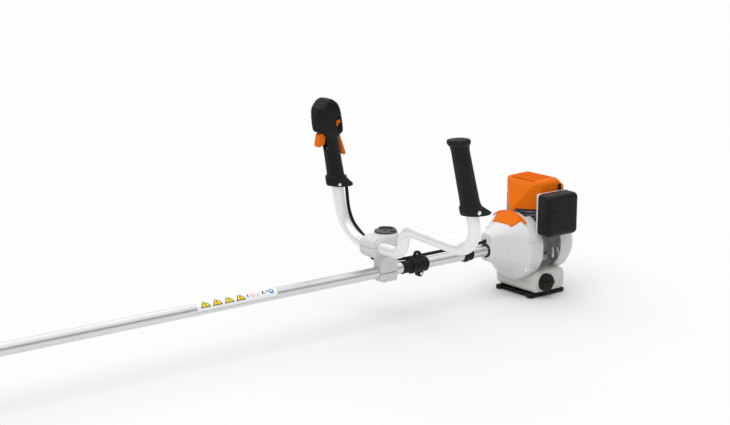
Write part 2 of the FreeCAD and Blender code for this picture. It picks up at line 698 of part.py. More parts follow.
middle = value("crank_middle")
web_gap = 10.4
front_web = turned("front_crank_half", [
    (0, -web_gap / 2 - 62), (7.5, -web_gap / 2 - 62), (7.5, -web_gap / 2 - 8),
    ("$web_radius", -web_gap / 2 - 8), ("$web_radius", -web_gap / 2), (0, -web_gap / 2)],
    placed((middle, 0, 0), X))
rear_web = turned("rear_crank_half", [
    (0, web_gap / 2), ("$web_radius", web_gap / 2), ("$web_radius", web_gap / 2 + 8),
    (7.5, web_gap / 2 + 8), (7.5, web_gap / 2 + 54), (0, web_gap / 2 + 54)],
    placed((middle, 0, 0), X))
piece("crankshaft", group("crankshaft", [front_web, rear_web]))

# --- crankcase, cylinder, piston ------------------------------------------------------------
case_front, case_rear = 401, 467
crankcase = fuse(cylinder(38, case_rear - case_front, (case_front, 0, 0), X),
                 box(56, 66, 30, (middle, 0, 8)),
                 box(60, 80, 14, (middle, 0, -40)))
crank_room = cylinder("$web_radius + 2.5", 29, (middle - 14.5, 0, 0), X)
shaft_room = cylinder(9, 100, (middle - 50, 0, 0), X)
bearing_room = [cylinder(17.5, 12, (x, 0, 0), X) for x in (case_front + 4, case_rear - 16)]
piston_room = cylinder("$bore_radius + 1.5", 60, (middle, 0, 0))
piece("crankcase", cut(crankcase, crank_room, shaft_room, *bearing_room, piston_room))

fin_profile = [("$bore_radius", 38.3), ("$bore_radius + 9", 38.3), ("$bore_radius + 9", 45)]
fin_pitch = 8.2
for i in range(int(value("fin_count"))):
    low = 48 + i * fin_pitch
    fin_profile += [("$bore_radius + 5", low), ("$fin_radius", low), ("$fin_radius", low + 2.2),
                    ("$bore_radius + 5", low + 2.2)]
fin_profile += [("$bore_radius + 5", "$head_height"), (5, "$head_height"), (5, "$head_height - 7"),
                ("$bore_radius", "$head_height - 7")]
cylinder_body = turned("cylinder_body", fin_profile, placed((middle, 0, 0)))
exhaust_flange = box(30, 26, 24, (middle, 31, 62))
intake_flange = box(26, 22, 22, (middle, -31, 62))
bore = cylinder("$bore_radius", 60, (middle, 0, 45))
ports = [cylinder(7, 40, (middle, side * 15, 74), Y * side) for side in (-1, 1)]
piece("cylinder", cut(fuse(cylinder_body, exhaust_flange, intake_flange), bore, *ports))

wrist_height = 88
piston_skin = turned("piston_skin", [
    (0, 20), (0, 16), (15, 16), (15, -12), ("$bore_radius - 0.1", -12), ("$bore_radius - 0.1", 20)],
    placed((middle, 0, wrist_height)))
wrist_pin = cylinder(4, 33, (middle - 16.5, 0, wrist_height), X)
piece("piston", fuse(piston_skin, wrist_pin))
throw = value("crank_throw")
rod = fuse(cylinder(9, 8, (middle - 4, 0, throw), X), cylinder(7.5, 8, (middle - 4, 0, wrist_height), X),
           box(6, 9, wrist_height - throw, (middle, 0, throw)),
           cylinder(5.5, web_gap - 1, (middle - web_gap / 2 + 0.5, 0, throw), X))
piece("connecting_rod", cut(rod, cylinder(4, 30, (middle - 15, 0, wrist_height), X)))

piece("spark_plug", turned("spark_plug", [
    (0, -8), (4.9, -8), (4.9, 0.1), (9, 0.1), (9, 8), (6, 9), (5.5, 24), (3, 24), (3, 30), (0, 30)],
    placed((middle, 0, value("head_height")))))
module = rounded(box(8.4, 34, 24, (fan_disc + 9.4, 0, 44)), 2, every_edge)
module.Placement = Placement(Vector(0, 0, 0), Rotation(X, -60))
piece("ignition_module", module)

# --- bearings -------------------------------------------------------------------------------
tilt = value("output_tilt")
gear_x = -value("gear_point")
out_axis = Vector(-math.sin(math.radians(tilt)), 0, -math.cos(math.radians(tilt)))
out_back = Vector(math.cos(math.radians(tilt)), 0, -math.sin(math.radians(tilt)))


def on_output(distance, back=0.0, side=0.0):
    """A point at a distance down the cutting head axis."""
    return Vector(gear_x, 0, 0) + out_axis * distance + out_back * back + Y * side


bearing_list = [
    ring("crank_bearing_front", 17.5, "7.5 + $running_gap", 11, placed((case_front + 4, 0, 0), X)),
    ring("crank_bearing_rear", 17.5, "7.5 + $running_gap", 11, placed((case_rear - 15, 0, 0), X)),
    ring("drum_bearing", 14, "6 + $running_gap", 8, placed((332.5, 0, 0), X)),
    ring("pinion_bearing", 11, "$shaft_diameter / 2 + $running_gap", 7, placed((gear_x + 16, 0, 0), X)),
    ring("output_bearing_top", 13, "5 + $running_gap", 8, placed(on_output(12), out_axis)),
    ring("output_bearing_bottom", 13, "5 + $running_gap", 8, placed(on_output(26), out_axis))]
piece("ball_bearings", group("ball_bearings", bearing_list))

# --- fan case, starter, tank and covers ------------------------------------------------------
fan_case = fuse(ring("fan_case_rim", "$fan_case_radius", "$fan_case_radius - $case_wall", 30,
                     placed((nose_rear + 0.3, 0, 0), X)),
                ring("fan_case_back", "$fan_case_radius", 38.3, 3, placed((399.5, 0, 0), X)))
piece("engine_shroud", cut(fan_case, box(20, 68, 60, (395, 0, 45))))

starter_front = case_rear + 2
starter_outside = turned("starter_outside", [
    (0, 0), (72, 0), (72, 32), (62, 48), (20, 54), (0, 54)], placed((starter_front, 0, 0), X))
starter_inside = cone(69, 58, 44, (starter_front - 0.1, 0, 0), X)
vents = []
VENT_COUNT = 12
for i in range(VENT_COUNT):
    vent = doc.addObject("Part::Box", "vent")
    bind(vent, Length=30, Width=26, Height=7)
    vent.Placement = Placement(Vector(case_rear + 30, 0, 0), Rotation(X, 360 / VENT_COUNT * i)).multiply(
        Placement(Vector(0, 26, -3.5), Rotation()))
    vents.append(vent)
piece("starter_housing", cut(starter_outside, starter_inside, *vents))
starter_grip = rounded(box(14, 40, 18, (492, -52, 67)), 5, every_edge)
piece("starter_grip", starter_grip)

tank_outside = rounded(box(100, 140, 52, (440, 0, -108)), 14, every_edge)
tank_inside = rounded(box(95, 135, 47, (440, 0, -105.5)), 11, every_edge)
filler = cylinder(17, 12, (412, -66, -78), -Y)
filler_hole = cylinder(12, 30, (412, -60, -78), -Y)
case_clear = fuse(cylinder(38.3, 100, (390, 0, 0), X), cylinder("$fan_case_radius + 0.3", 40, (365, 0, 0), X),
                  cylinder(72.3, 80, (case_rear, 0, 0), X), box(61, 81, 15, (middle, 0, -40.5)))
piece("fuel_tank", cut(fuse(cut(tank_outside, case_clear), filler),
                       cut(tank_inside, fuse(cylinder(41, 100, (390, 0, 0), X),
                                             cylinder("$fan_case_radius + 3", 40, (365, 0, 0), X),
                                             cylinder(75, 80, (case_rear, 0, 0), X),
                                             box(66, 86, 18, (middle, 0, -43)))),
                       filler_hole))
cap_body = turned("cap_body", [
    (0, 0), (11.8, 0), (11.8, 12.5), (21, 12.5), (21, 22), (19, 24), (0, 24)],
    placed((412, -66, -78), -Y))
cap_bar = box(34, 6, 5, (412, -89.9, -78), -Y)
piece("fuel_cap", fuse(cap_body, cap_bar))
skirt_bottom = value("blade_level") + 10
ground = -on_output(skirt_bottom, value("guard_radius")).z
stand_height = ground - 108.3
skids = [rounded(box(112, 16, stand_height, (440, side * 52, -ground)), 4, every_edge) for side in (-1, 1)]
cross = [box(14, 110, stand_height - 4, (x, 0, -ground + 2)) for x in (398, 482)]
piece("tank_stand", fuse(*skids, *cross))

muffler = rounded(box(62, 50, 72, (434.5, 72, 40)), 9, every_edge)
muffler_room = rounded(box(59, 47, 69, (434.5, 72, 41.5)), 7.5, every_edge)
outlet = cylinder(7, 14, (middle - 14, 95, 58), Y)
piece("muffler", cut(fuse(muffler, outlet), muffler_room, cylinder(5, 30, (middle - 14, 85, 58), Y)))
carb_body = fuse(box(30, 30, 30, (middle, -57.3, 59)), cylinder(13, 18, (middle, -42, 74), -Y),
                 cylinder(16, 5, (middle, -57, 54)))
piece("carburettor", cut(carb_body, cylinder(7.5, 60, (middle, -30, 74), -Y)))
filter_base = rounded(box(96, 4, 98, (middle, -75, 36)), 1.9, runs_along(X))
piece("air_filter_base", cut(filter_base, cylinder(7.5, 30, (middle, -60, 74), -Y)))
filter_outside = rounded(box(96, 38, 98, (middle, -96.3, 36)), 12,
                         lambda e: e.CenterOfMass.y < -78)
filter_inside = rounded(box(90, 38, 92, (middle, -93.3, 39)), 9, lambda e: e.CenterOfMass.y < -78)
piece("air_filter_cover", cut(filter_outside, filter_inside))

hood_side = [(366, 72), (369, 85), (398, 142), (412, 156), (470, 158), (492, 140), (498, 90),
             (376, 90), (373, 72)]
cover_width = 116


def cover_solid(outline, width):
    """Side outline extruded evenly across the machine."""
    corners = [Vector(x, -width / 2, z) for x, z in outline]
    face = Part.Face(Part.makePolygon(corners + corners[:1]))
    return face.extrude(Y * width)


def upright_solid(outline, bottom, top):
    """Plan outline extruded upwards."""
    corners = [Vector(x, y, bottom) for x, y in outline]
    face = Part.Face(Part.makePolygon(corners + corners[:1]))
    return face.extrude(Z * (top - bottom))


def long_upper_edges(solid, half_width):
    return [e for e in solid.Edges if (
        abs(abs(e.CenterOfMass.y) - half_width) < 0.1 and e.CenterOfMass.z > 91)]


def bow_wedges(start):
    """Two wedges that taper the hood's front like a bow."""
    return [upright_solid([(300, 0), (start, 0), (start + 62, side * 80), (300, side * 80)], 0, 200)
            for side in (-1, 1)]


cover_block = cover_solid(hood_side, cover_width)
cover_block = cover_block.makeFillet(13, long_upper_edges(cover_block, cover_width / 2))
hollow_side = [(375, 66), (375, 88), (402, 139), (415, 152), (468, 154), (488, 138), (494, 80), (494, 66)]
cover_hollow = cover_solid(hollow_side, cover_width - 7)
cover_hollow = cover_hollow.makeFillet(10, long_upper_edges(cover_hollow, cover_width / 2 - 3.5))
for wedge in bow_wedges(369):
    cover_block = cover_block.cut(wedge)
for wedge in bow_wedges(374):
    cover_hollow = cover_hollow.cut(wedge)
front_skin = nose_solid(-3.6, nose_front, nose_rear).common(
    upright_solid([(332, -34), (371, -56), (371, 56), (332, 34)], 20, 130))
cover = cover_block.fuse(front_skin).cut(cover_hollow).cut(nose_solid(-0.3, nose_front, nose_rear + 0.3))
cover = cover.cut(Part.makeCylinder(value("fan_case_radius") + 0.3, 32, Vector(nose_rear, 0, 0), X))
cover = cover.cut(Part.makeCylinder(72.3, 80, Vector(case_rear, 0, 0), X))
cover = cover.cut(Part.makeBox(100, 40, 80, Vector(middle - 50, 46.7, 38)))
cover = max(cover.Solids, key=lambda s: s.Volume)
shape_piece("engine_top_cover", cover)
lever_place = (470, -58.4, 118)
choke = fuse(cylinder(8, 4, lever_place, -Y), box(7, 4, 26, (470, -60.4, 119)))
piece("choke_lever", choke)

# --- gearbox -------------------------------------------------------------------------------
shaft_angle = math.radians(90 + tilt)
ratio = value("gear_teeth / pinion_teeth")
pinion_cone = math.atan(math.sin(shaft_angle) / (ratio + math.cos(shaft_angle)))
gear_cone = shaft_angle - pinion_cone
outer_cone, inner_cone = value("cone_length"), 8.5


def bevel_blank(label, cone_angle, hub_radius, hub_length, bore, frame):
    """A bevel gear blank whose cone starts at the frame's origin and opens along its Z."""
    inner = (inner_cone * math.sin(cone_angle), inner_cone * math.cos(cone_angle))
    outer = (outer_cone * math.sin(cone_angle) - 0.25, outer_cone * math.cos(cone_angle) + 0.25)
    back = outer[1] + 2
    return turned(label, [
        (bore, inner[1] + 0.3), (inner[0] - 0.3, inner[1] + 0.3), outer, (outer[0] - 1, back),
        (hub_radius, back), (hub_radius, back + hub_length), (bore, back + hub_length)], frame)


def tooth_gaps(count, cone_angle, frame):
    """Narrow radial grooves along the cone, one between each two teeth."""
    gaps = []
    for i in range(count):
        groove = doc.addObject("Part::Box", "groove")
        bind(groove, Length=8, Width=0.42 * 2 * math.pi * outer_cone * math.sin(cone_angle) / count,
             Height=1.8)
        local = Placement(Vector(), Rotation(Z, 360 / count * i)).multiply(
            Placement(Vector(), Rotation(Y, math.degrees(cone_angle) - 90)))
        local = local.multiply(Placement(Vector(inner_cone - 1, -number(groove.Width) / 2, -1.6), Rotation()))
        groove.Placement = frame.multiply(local)
        gaps.append(groove)
    return gaps


pinion_frame = placed((gear_x, 0, 0), X)
pinion = bevel_blank("pinion_blank", pinion_cone, 6, 3, "$shaft_diameter / 2", pinion_frame)
piece("bevel_pinion", cut(pinion, *tooth_gaps(int(value("pinion_teeth")), pinion_cone, pinion_frame)))
gear_frame = placed((gear_x, 0, 0), out_axis)
gear = bevel_blank("gear_blank", gear_cone, 9, 4, 5, gear_frame)
piece("bevel_gear", cut(gear, *tooth_gaps(int(value("gear_teeth")), gear_cone, gear_frame)))
piece("drive_shaft", padded("drive_shaft", lambda s: draw_circle(s, "$shaft_diameter / 2"),
                            348 - gear_x - 8, placed((gear_x + 8, 0, 0), X)))

level = value("blade_level")
gearbox_screws = [screw((gear_x + 58 + x, -6, 22.5), Y, 12) for x in (-8, 8)]
housing = fuse(cylinder(17.5, 72, (gear_x, 0, 0), X), cylinder(19, 50, on_output(-14), out_axis),
               cylinder(14.5, 4, on_output(-18), out_axis),
               box(26, 12, 20, (gear_x + 58, 0, 8)))
housing = cut(housing, cylinder(15.6, 25.9, on_output(-13.9), out_axis),
              cylinder(13, 30, on_output(11.9), out_axis),
              cylinder(11, 34, (gear_x + 7, 0, 0), X),
              cylinder("$tube_outer / 2", 60, (gear_x + 40, 0, 0), X),
              box(40, 2, 30, (gear_x + 62, 0, 10)), *gearbox_screws)
piece("gearbox_housing", housing)

piece("output_shaft", turned("output_shaft", [
    (0, 1.5), (5, 1.5), (5, 58), (0, 58)], gear_frame))
piece("thrust_plate", turned("thrust_plate", [
    (5, "$blade_level - 4.8"), (19, "$blade_level - 4.8"), (30, "$blade_level - 2.5"),
    (30, "$blade_level"), (10, "$blade_level"), (10, "$blade_level + $blade_thickness - 0.2"),
    (5, "$blade_level + $blade_thickness - 0.2")], gear_frame))
plate_top = level + value("blade_thickness")
piece("rider_plate", turned("rider_plate", [
    (5, plate_top), (32, plate_top), (32, plate_top + 1.5), (26, plate_top + 6), (16, plate_top + 8),
    (16, plate_top + 6.5), (24, plate_top + 4.5), (27, plate_top + 1.5), (5, plate_top + 1.5)], gear_frame))
nut_hex = doc.addObject("Part::Prism", "nut_hex")
bind(nut_hex, Polygon=6, Circumradius=9.8, Height=8)
nut_hex.Placement = placed(on_output(plate_top + 3.5), out_axis)
collar_disc = cylinder(13, 2, on_output(plate_top + 1.5), out_axis)
piece("collar_nut", cut(fuse(nut_hex, collar_disc), cylinder(5, 30, on_output(plate_top - 5), out_axis)))

# --- brush knife and deflector ---------------------------------------------------------------
BLADE_ARMS = 3


def blade_corner(radius, degrees):
    return (radius * math.cos(math.radians(degrees)), radius * math.sin(math.radians(degrees)))


def blade_outline(sketch):
    """Three swept arms: each has a straight cutting edge, a tip and a hollow back."""
    tip = value("blade_radius")
    corners = []
    for arm in range(BLADE_ARMS):
        first = 360 / BLADE_ARMS * arm
        corners += [blade_corner(38, first - 38), blade_corner(72, first - 19),
                    blade_corner(tip, first - 9), blade_corner(tip, first + 8),
                    blade_corner(88, first + 14), blade_corner(50, first + 36)]
    draw_polygon(sketch, corners)
    draw_circle(sketch, 10)


piece("cutting_blade", padded("cutting_blade", blade_outline, "$blade_thickness",
                              placed(on_output(level), out_axis)))

guard_radius, guard_wall = value("guard_radius"), value("guard_wall")
skirt_top = level - 12
guard_frame = placed(on_output(skirt_top), out_axis, out_back)


def guard_sector(radius, height, lift, spread):
    """A pie slice of the deflector, opening backwards."""
    slice_shape = Part.makeCylinder(radius, height, Vector(0, 0, lift), Z, spread)
    slice_shape.rotate(Vector(), Z, -spread / 2)
    return slice_shape


SPREAD = 116
guard_shape = guard_sector(guard_radius, skirt_bottom - skirt_top, 0, SPREAD).cut(
    guard_sector(guard_radius - guard_wall, 60, guard_wall, SPREAD + 20)).cut(
    Part.makeCylinder(52, 80, Vector(0, 0, -20), Z))
guard_shape.Placement = guard_frame
clamp_x = gear_x + 96
neck = Part.makeBox(40, 26, 108, Vector(clamp_x - 20, -13, -118))
neck_room = guard_sector(guard_radius + 30, 60, guard_wall, 360)
neck_room.Placement = guard_frame
guard_clamp = Part.makeCylinder(18.5, 44, Vector(clamp_x - 22, 0, 0), X)
guard_shape = guard_shape.fuse(neck.cut(neck_room)).fuse(guard_clamp)
guard_shape = guard_shape.cut(Part.makeCylinder(tube_radius, 80, Vector(clamp_x - 40, 0, 0), X))
guard_screws = [screw((clamp_x + x, 0, 18.5), -Z, 5.6) for x in (-13, 13)]
doc.recompute()
for guard_screw in guard_screws:
    guard_shape = guard_shape.cut(guard_screw.Shape)
shape_piece("blade_guard", guard_shape)

# --- screws that hold the cases on the tube ---------------------------------------------------
piece("case_screws", group("case_screws", column_screws + gearbox_screws + guard_screws))

# --- check, shift onto the ground and write ----------------------------------------------------
doc.recompute()
for obj in doc.Objects:
    if "Invalid" in obj.State or "Error" in obj.State:
        raise RuntimeError(f"{obj.Name} ({obj.Label}) failed: {obj.State}")
labels = [obj.Label for obj in PIECES]
if len(set(labels)) != len(labels):
    raise RuntimeError("two sub-parts share a label")

whole = FreeCAD.BoundBox()
for obj in PIECES:
    whole.add(obj.Shape.optimalBoundingBox(False))
shift = Vector(-whole.Center.x, -whole.Center.y, -whole.ZMin)
for obj in PIECES:
    obj.Placement = Placement(shift, Rotation()).multiply(obj.Placement)
doc.recompute()

for name, point in (
        ("column axis", (0, 0, 40)), ("bar clamp axis", (bar_x, 0, bar_z)),
        ("bow hinge", (0, 0, hinge_height)),
        ("trigger pivot", in_handle(TRIGGER_PIVOT[0], 0, TRIGGER_PIVOT[1])),
        ("lockout pivot", in_handle(LOCKOUT_PIVOT[0], 0, LOCKOUT_PIVOT[1])),
        ("slide", in_handle(13, -20, 144)), ("handle up", far_axis), ("tube end", (tube_front, 0, 0)),
        ("gear crossing", (gear_x, 0, 0)), ("blade middle", on_output(level)),
        ("shaft end", on_output(58)), ("fuel cap", (412, -66, -78)), ("choke", lever_place),
        ("ring lug", (ring_middle, 0, 23)), ("crank", (middle, 0, 0))):
    where = Vector(*point) if name == "handle up" else Vector(*point) + shift
    print(name, [round(c, 3) for c in where])

os.makedirs("parts", exist_ok=True)
for obj in PIECES:
    shape = obj.Shape
    if shape.isNull() or not shape.isValid() or not shape.Solids:
        raise RuntimeError(f"{obj.Label} has no valid solid")
    shape.exportStep(f"parts/{obj.Label}.step")
print(len(PIECES), "sub-parts, shifted by", tuple(round(c, 3) for c in shift))
print("overall size", [round(c, 1) for c in (whole.XLength, whole.YLength, whole.ZLength)])
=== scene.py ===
import json
import math

import bmesh
import bpy
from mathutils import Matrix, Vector

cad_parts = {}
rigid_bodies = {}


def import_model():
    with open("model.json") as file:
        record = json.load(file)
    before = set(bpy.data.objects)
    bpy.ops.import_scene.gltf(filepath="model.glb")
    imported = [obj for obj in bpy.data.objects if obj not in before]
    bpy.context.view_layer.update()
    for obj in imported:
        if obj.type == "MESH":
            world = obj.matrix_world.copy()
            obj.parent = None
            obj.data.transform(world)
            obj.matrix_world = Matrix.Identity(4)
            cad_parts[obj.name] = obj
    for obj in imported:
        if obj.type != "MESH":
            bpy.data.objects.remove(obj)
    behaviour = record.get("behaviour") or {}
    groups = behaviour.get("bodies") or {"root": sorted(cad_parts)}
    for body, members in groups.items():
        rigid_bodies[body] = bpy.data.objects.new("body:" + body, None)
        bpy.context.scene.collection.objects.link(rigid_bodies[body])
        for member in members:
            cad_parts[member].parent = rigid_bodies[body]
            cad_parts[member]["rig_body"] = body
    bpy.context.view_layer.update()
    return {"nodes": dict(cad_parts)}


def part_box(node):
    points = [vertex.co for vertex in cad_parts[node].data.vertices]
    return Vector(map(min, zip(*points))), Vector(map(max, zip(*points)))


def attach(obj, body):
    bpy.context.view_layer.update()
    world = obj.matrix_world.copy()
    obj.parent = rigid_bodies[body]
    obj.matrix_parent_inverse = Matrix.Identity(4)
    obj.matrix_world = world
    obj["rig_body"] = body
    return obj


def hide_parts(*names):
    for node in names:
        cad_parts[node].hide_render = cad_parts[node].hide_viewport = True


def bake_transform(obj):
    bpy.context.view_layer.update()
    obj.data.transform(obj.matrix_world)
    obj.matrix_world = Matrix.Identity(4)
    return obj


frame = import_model()
scene = bpy.context.scene

# The working origin is where the handle column's axis crosses the drive tube's axis, with X back to
# the engine, Y to the operator's right and Z up.  Sizes below are millimetres from that point.
MM = 0.001
knob_low, knob_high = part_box("clamp_screw")
tube_low, tube_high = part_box("drive_tube")
ORIGIN = Vector(((knob_low.x + knob_high.x) / 2, (tube_low.y + tube_high.y) / 2,
                 (tube_low.z + tube_high.z) / 2))
TUBE_RADIUS = 12.7
BAR_RADIUS = 12.7
X, Y, Z = Vector((1, 0, 0)), Vector((0, 1, 0)), Vector((0, 0, 1))


def at(x, y, z):
    """A place given in millimetres from the working origin, as a point of the frame in metres."""
    return ORIGIN + Vector((x, y, z)) * MM


# --- materials ------------------------------------------------------------------------------
def new_material(name, colour, roughness, metallic=0.0):
    """A plain surface; gives back the material and its shader node."""
    material = bpy.data.materials.new(name)
    material.use_nodes = True
    shader = material.node_tree.nodes["Principled BSDF"]
    shader.inputs["Base Color"].default_value = (*colour, 1)
    shader.inputs["Roughness"].default_value = roughness
    shader.inputs["Metallic"].default_value = metallic
    return material, shader


def noise(material, scale, detail=3.0, stretch=(1, 1, 1)):
    """A noise over the object's own coordinates, in features per metre."""
    nodes, links = material.node_tree.nodes, material.node_tree.links
    place = nodes.new("ShaderNodeTexCoord")
    mapping = nodes.new("ShaderNodeMapping")
    mapping.inputs["Scale"].default_value = stretch
    texture = nodes.new("ShaderNodeTexNoise")
    texture.inputs["Scale"].default_value = scale
    texture.inputs["Detail"].default_value = detail
    links.new(place.outputs["Object"], mapping.inputs["Vector"])
    links.new(mapping.outputs["Vector"], texture.inputs["Vector"])
    return texture.outputs["Fac"]


def spread(material, source, low, high, start=0.3, end=0.7):
    """Map a 0..1 source between two numbers."""
    node = material.node_tree.nodes.new("ShaderNodeMapRange")
    node.inputs["From Min"].default_value = start
    node.inputs["From Max"].default_value = end
    node.inputs["To Min"].default_value = low
    node.inputs["To Max"].default_value = high
    material.node_tree.links.new(source, node.inputs["Value"])
    return node.outputs["Result"]


def shades(material, source, dark, light, start=0.3, end=0.7):
    """Map a 0..1 source between two colours."""
    ramp = material.node_tree.nodes.new("ShaderNodeValToRGB")
    ramp.color_ramp.elements[0].position = start
    ramp.color_ramp.elements[0].color = (*dark, 1)
    ramp.color_ramp.elements[1].position = end
    ramp.color_ramp.elements[1].color = (*light, 1)
    material.node_tree.links.new(source, ramp.inputs["Fac"])
    return ramp.outputs["Color"]


def bump(material, shader, source, strength, distance):
    """Raise the surface by a 0..1 source, distance in metres."""
    node = material.node_tree.nodes.new("ShaderNodeBump")
    node.inputs["Strength"].default_value = strength
    node.inputs["Distance"].default_value = distance
    material.node_tree.links.new(source, node.inputs["Height"])
    material.node_tree.links.new(node.outputs["Normal"], shader.inputs["Normal"])


def tinted(colour, factor):
    """A colour made darker or lighter by a factor."""
    return tuple(min(1, c * factor) for c in colour)


def moulded(name, colour, roughness, grain=0.12, variation=0.06, grain_scale=1600, specular=0.4):
    """Moulded plastic or rubber: a fine spark-eroded grain and slow changes of tone and gloss."""
    material, shader = new_material(name, colour, roughness)
    shader.inputs["Specular IOR Level"].default_value = specular
    links = material.node_tree.links
    slow = noise(material, 22, 4)
    links.new(shades(material, slow, tinted(colour, 1 - variation), tinted(colour, 1 + variation)),
              shader.inputs["Base Color"])
    mottle = noise(material, 90, 5)
    links.new(spread(material, mottle, roughness - 0.05, roughness + 0.07), shader.inputs["Roughness"])
    bump(material, shader, noise(material, grain_scale, 2), grain, 0.0002)
    return material


def drawn_metal(name, colour, roughness, stretch, strength=0.05, scale=40, metallic=1.0):
    """Drawn or brushed metal: fine lines along the unstretched axis, worn patches between."""
    material, shader = new_material(name, colour, roughness, metallic)
    links = material.node_tree.links
    lines = noise(material, scale, 4, stretch)
    links.new(spread(material, lines, roughness - 0.05, roughness + 0.09), shader.inputs["Roughness"])
    slow = noise(material, 9, 3)
    links.new(shades(material, slow, tinted(colour, 0.95), tinted(colour, 1.03)),
              shader.inputs["Base Color"])
    bump(material, shader, lines, strength, 0.0002)
    return material


def cast_metal(name, colour, roughness, pitting=0.35):
    """Sand or die cast metal: a coarse pitted skin with darker hollows."""
    material, shader = new_material(name, colour, roughness, 0.85)
    links = material.node_tree.links
    pits = noise(material, 420, 6)
    links.new(shades(material, pits, tinted(colour, 0.72), tinted(colour, 1.05)),
              shader.inputs["Base Color"])
    links.new(spread(material, noise(material, 60, 4), roughness - 0.08, roughness + 0.1),
              shader.inputs["Roughness"])
    bump(material, shader, pits, pitting, 0.0004)
    return material


ALUMINIUM = drawn_metal("tube_aluminium", (0.70, 0.71, 0.72), 0.30, (0.05, 12, 12))
BRIGHT_BAR = drawn_metal("bar_aluminium", (0.86, 0.86, 0.87), 0.40, (3, 3, 3), 0.02, 60, 0.55)
CLAMP_GREY = moulded("clamp_grey", (0.62, 0.63, 0.64), 0.42, 0.10, 0.03)
CASING_GREY = moulded("casing_grey", (0.65, 0.66, 0.665), 0.42, 0.10, 0.03)
ORANGE = moulded("orange_plastic", (0.74, 0.150, 0.001), 0.48, 0.08, 0.05, specular=0.10)
BLACK = moulded("black_plastic", (0.0065, 0.0065, 0.007), 0.44, 0.16, 0.25, specular=0.17)
RUBBER = moulded("black_rubber", (0.008, 0.008, 0.008), 0.56, 0.22, 0.25, 1100, 0.2)
CABLE_SKIN = moulded("cable_skin", (0.008, 0.008, 0.008), 0.5, 0.10, 0.2, specular=0.2)
KNOB_DARK = moulded("knob_dark", (0.06, 0.062, 0.065), 0.40, 0.12, 0.2, specular=0.4)
TANK = moulded("tank_plastic", (0.60, 0.60, 0.56), 0.36, 0.08, 0.05)
CAST = cast_metal("cast_aluminium", (0.52, 0.53, 0.54), 0.48)
FAN_CAST = cast_metal("fan_alloy", (0.60, 0.61, 0.62), 0.42)
STEEL = drawn_metal("machined_steel", (0.52, 0.52, 0.53), 0.30, (1, 1, 1), 0.06, 300)
SCREW_STEEL = drawn_metal("zinc_screws", (0.80, 0.80, 0.81), 0.26, (1, 1, 1), 0.04, 500)
BLADE_STEEL = drawn_metal("blade_steel", (0.46, 0.47, 0.48), 0.34, (14, 1, 1), 0.10, 60)
MUFFLER_STEEL = drawn_metal("muffler_steel", (0.30, 0.29, 0.28), 0.46, (1, 1, 1), 0.10, 140)
NYLON = moulded("nylon", (0.75, 0.74, 0.68), 0.40)
CERAMIC = moulded("plug_ceramic", (0.82, 0.81, 0.78), 0.22, 0.02, 0.03)
LABEL_WHITE = moulded("label_white", (0.86, 0.86, 0.86), 0.40, 0.03, 0.01)
INK_BLACK = moulded("label_black", (0.02, 0.02, 0.02), 0.40, 0.03)
INK_YELLOW = moulded("label_yellow", (0.86, 0.66, 0.02), 0.40, 0.03)
INK_RED = moulded("label_red", (0.72, 0.12, 0.06), 0.40, 0.03)
INK_BLUE = moulded("label_blue", (0.03, 0.24, 0.52), 0.40, 0.03)

NODE_MATERIALS = {
    ALUMINIUM: ["drive_tube"],
    BRIGHT_BAR: ["handlebar"],
    CLAMP_GREY: ["handle_column", "column_lower_clamp", "support_lower_shell", "support_upper_shell"],
    CASING_GREY: ["clutch_housing", "engine_shroud", "starter_housing", "air_filter_base"],
    ORANGE: ["engine_top_cover", "throttle_trigger", "trigger_lockout", "stop_slide"],
    BLACK: ["control_handle_inner_half", "control_handle_outer_half", "carrying_ring",
            "carrying_ring_sleeve", "cable_clip", "blade_guard", "tank_stand", "starter_grip",
            "choke_lever", "air_filter_cover", "fuel_cap", "ignition_module"],
    RUBBER: ["left_grip", "tube_entry_seal"],
    CABLE_SKIN: ["throttle_cable_upper", "throttle_cable_middle", "throttle_cable_lower"],
    KNOB_DARK: ["clamp_screw", "clamp_screw_bow"],
    TANK: ["fuel_tank"],
    CAST: ["crankcase", "cylinder", "piston", "carburettor", "gearbox_housing"],
    FAN_CAST: ["flywheel"],
    STEEL: ["crankshaft", "connecting_rod", "drive_shaft", "clutch_drum", "clutch_shoes",
            "bevel_pinion", "bevel_gear", "output_shaft", "ball_bearings", "clamp_lift_spring"],
    SCREW_STEEL: ["case_screws", "grip_screws", "carrying_ring_screw", "collar_nut"],
    BLADE_STEEL: ["cutting_blade", "thrust_plate", "rider_plate"],
    MUFFLER_STEEL: ["muffler"],
    NYLON: ["shaft_bushes"],
    CERAMIC: ["spark_plug"],
}
for material, members in NODE_MATERIALS.items():
    for member in members:
        slots = frame["nodes"][member].data.materials
        slots.clear()
        slots.append(material)

# --- building meshes ------------------------------------------------------------------------
# A raw shape is a pair of lists, points in frame metres and faces.
def local_frame(origin, along, backward):
    """Millimetre coordinates with z along `along` and x along `backward`, as a function."""
    side = along.cross(backward)
    return lambda x, y, z: ORIGIN + (origin + backward * x + side * y + along * z) * MM


def sheared(place, slope, slope_above=None, middle=60):
    """A local frame whose level planes fall towards the back, more steeply below its middle."""
    if slope_above is None:
        slope_above = slope
    return lambda x, y, z: place(x, y, z - x * (slope if z < middle else slope_above))


def skin(rings):
    """A closed raw shape over rings of equal length, with flat ends."""
    count = len(rings[0])
    points = [point for ring in rings for point in ring]
    faces = [(low * count + i, low * count + (i + 1) % count,
              (low + 1) * count + (i + 1) % count, (low + 1) * count + i)
             for low in range(len(rings) - 1) for i in range(count)]
    faces.append(tuple(reversed(range(count))))
    faces.append(tuple(range(len(points) - count, len(points))))
    return points, faces


def lathe(profile, place, sides=64):
    """Turn (radius, height) pairs around a local frame's z axis."""
    angles = [2 * math.pi * i / sides for i in range(sides)]
    return skin([[place(r * math.cos(a), r * math.sin(a), z) for a in angles] for r, z in profile])


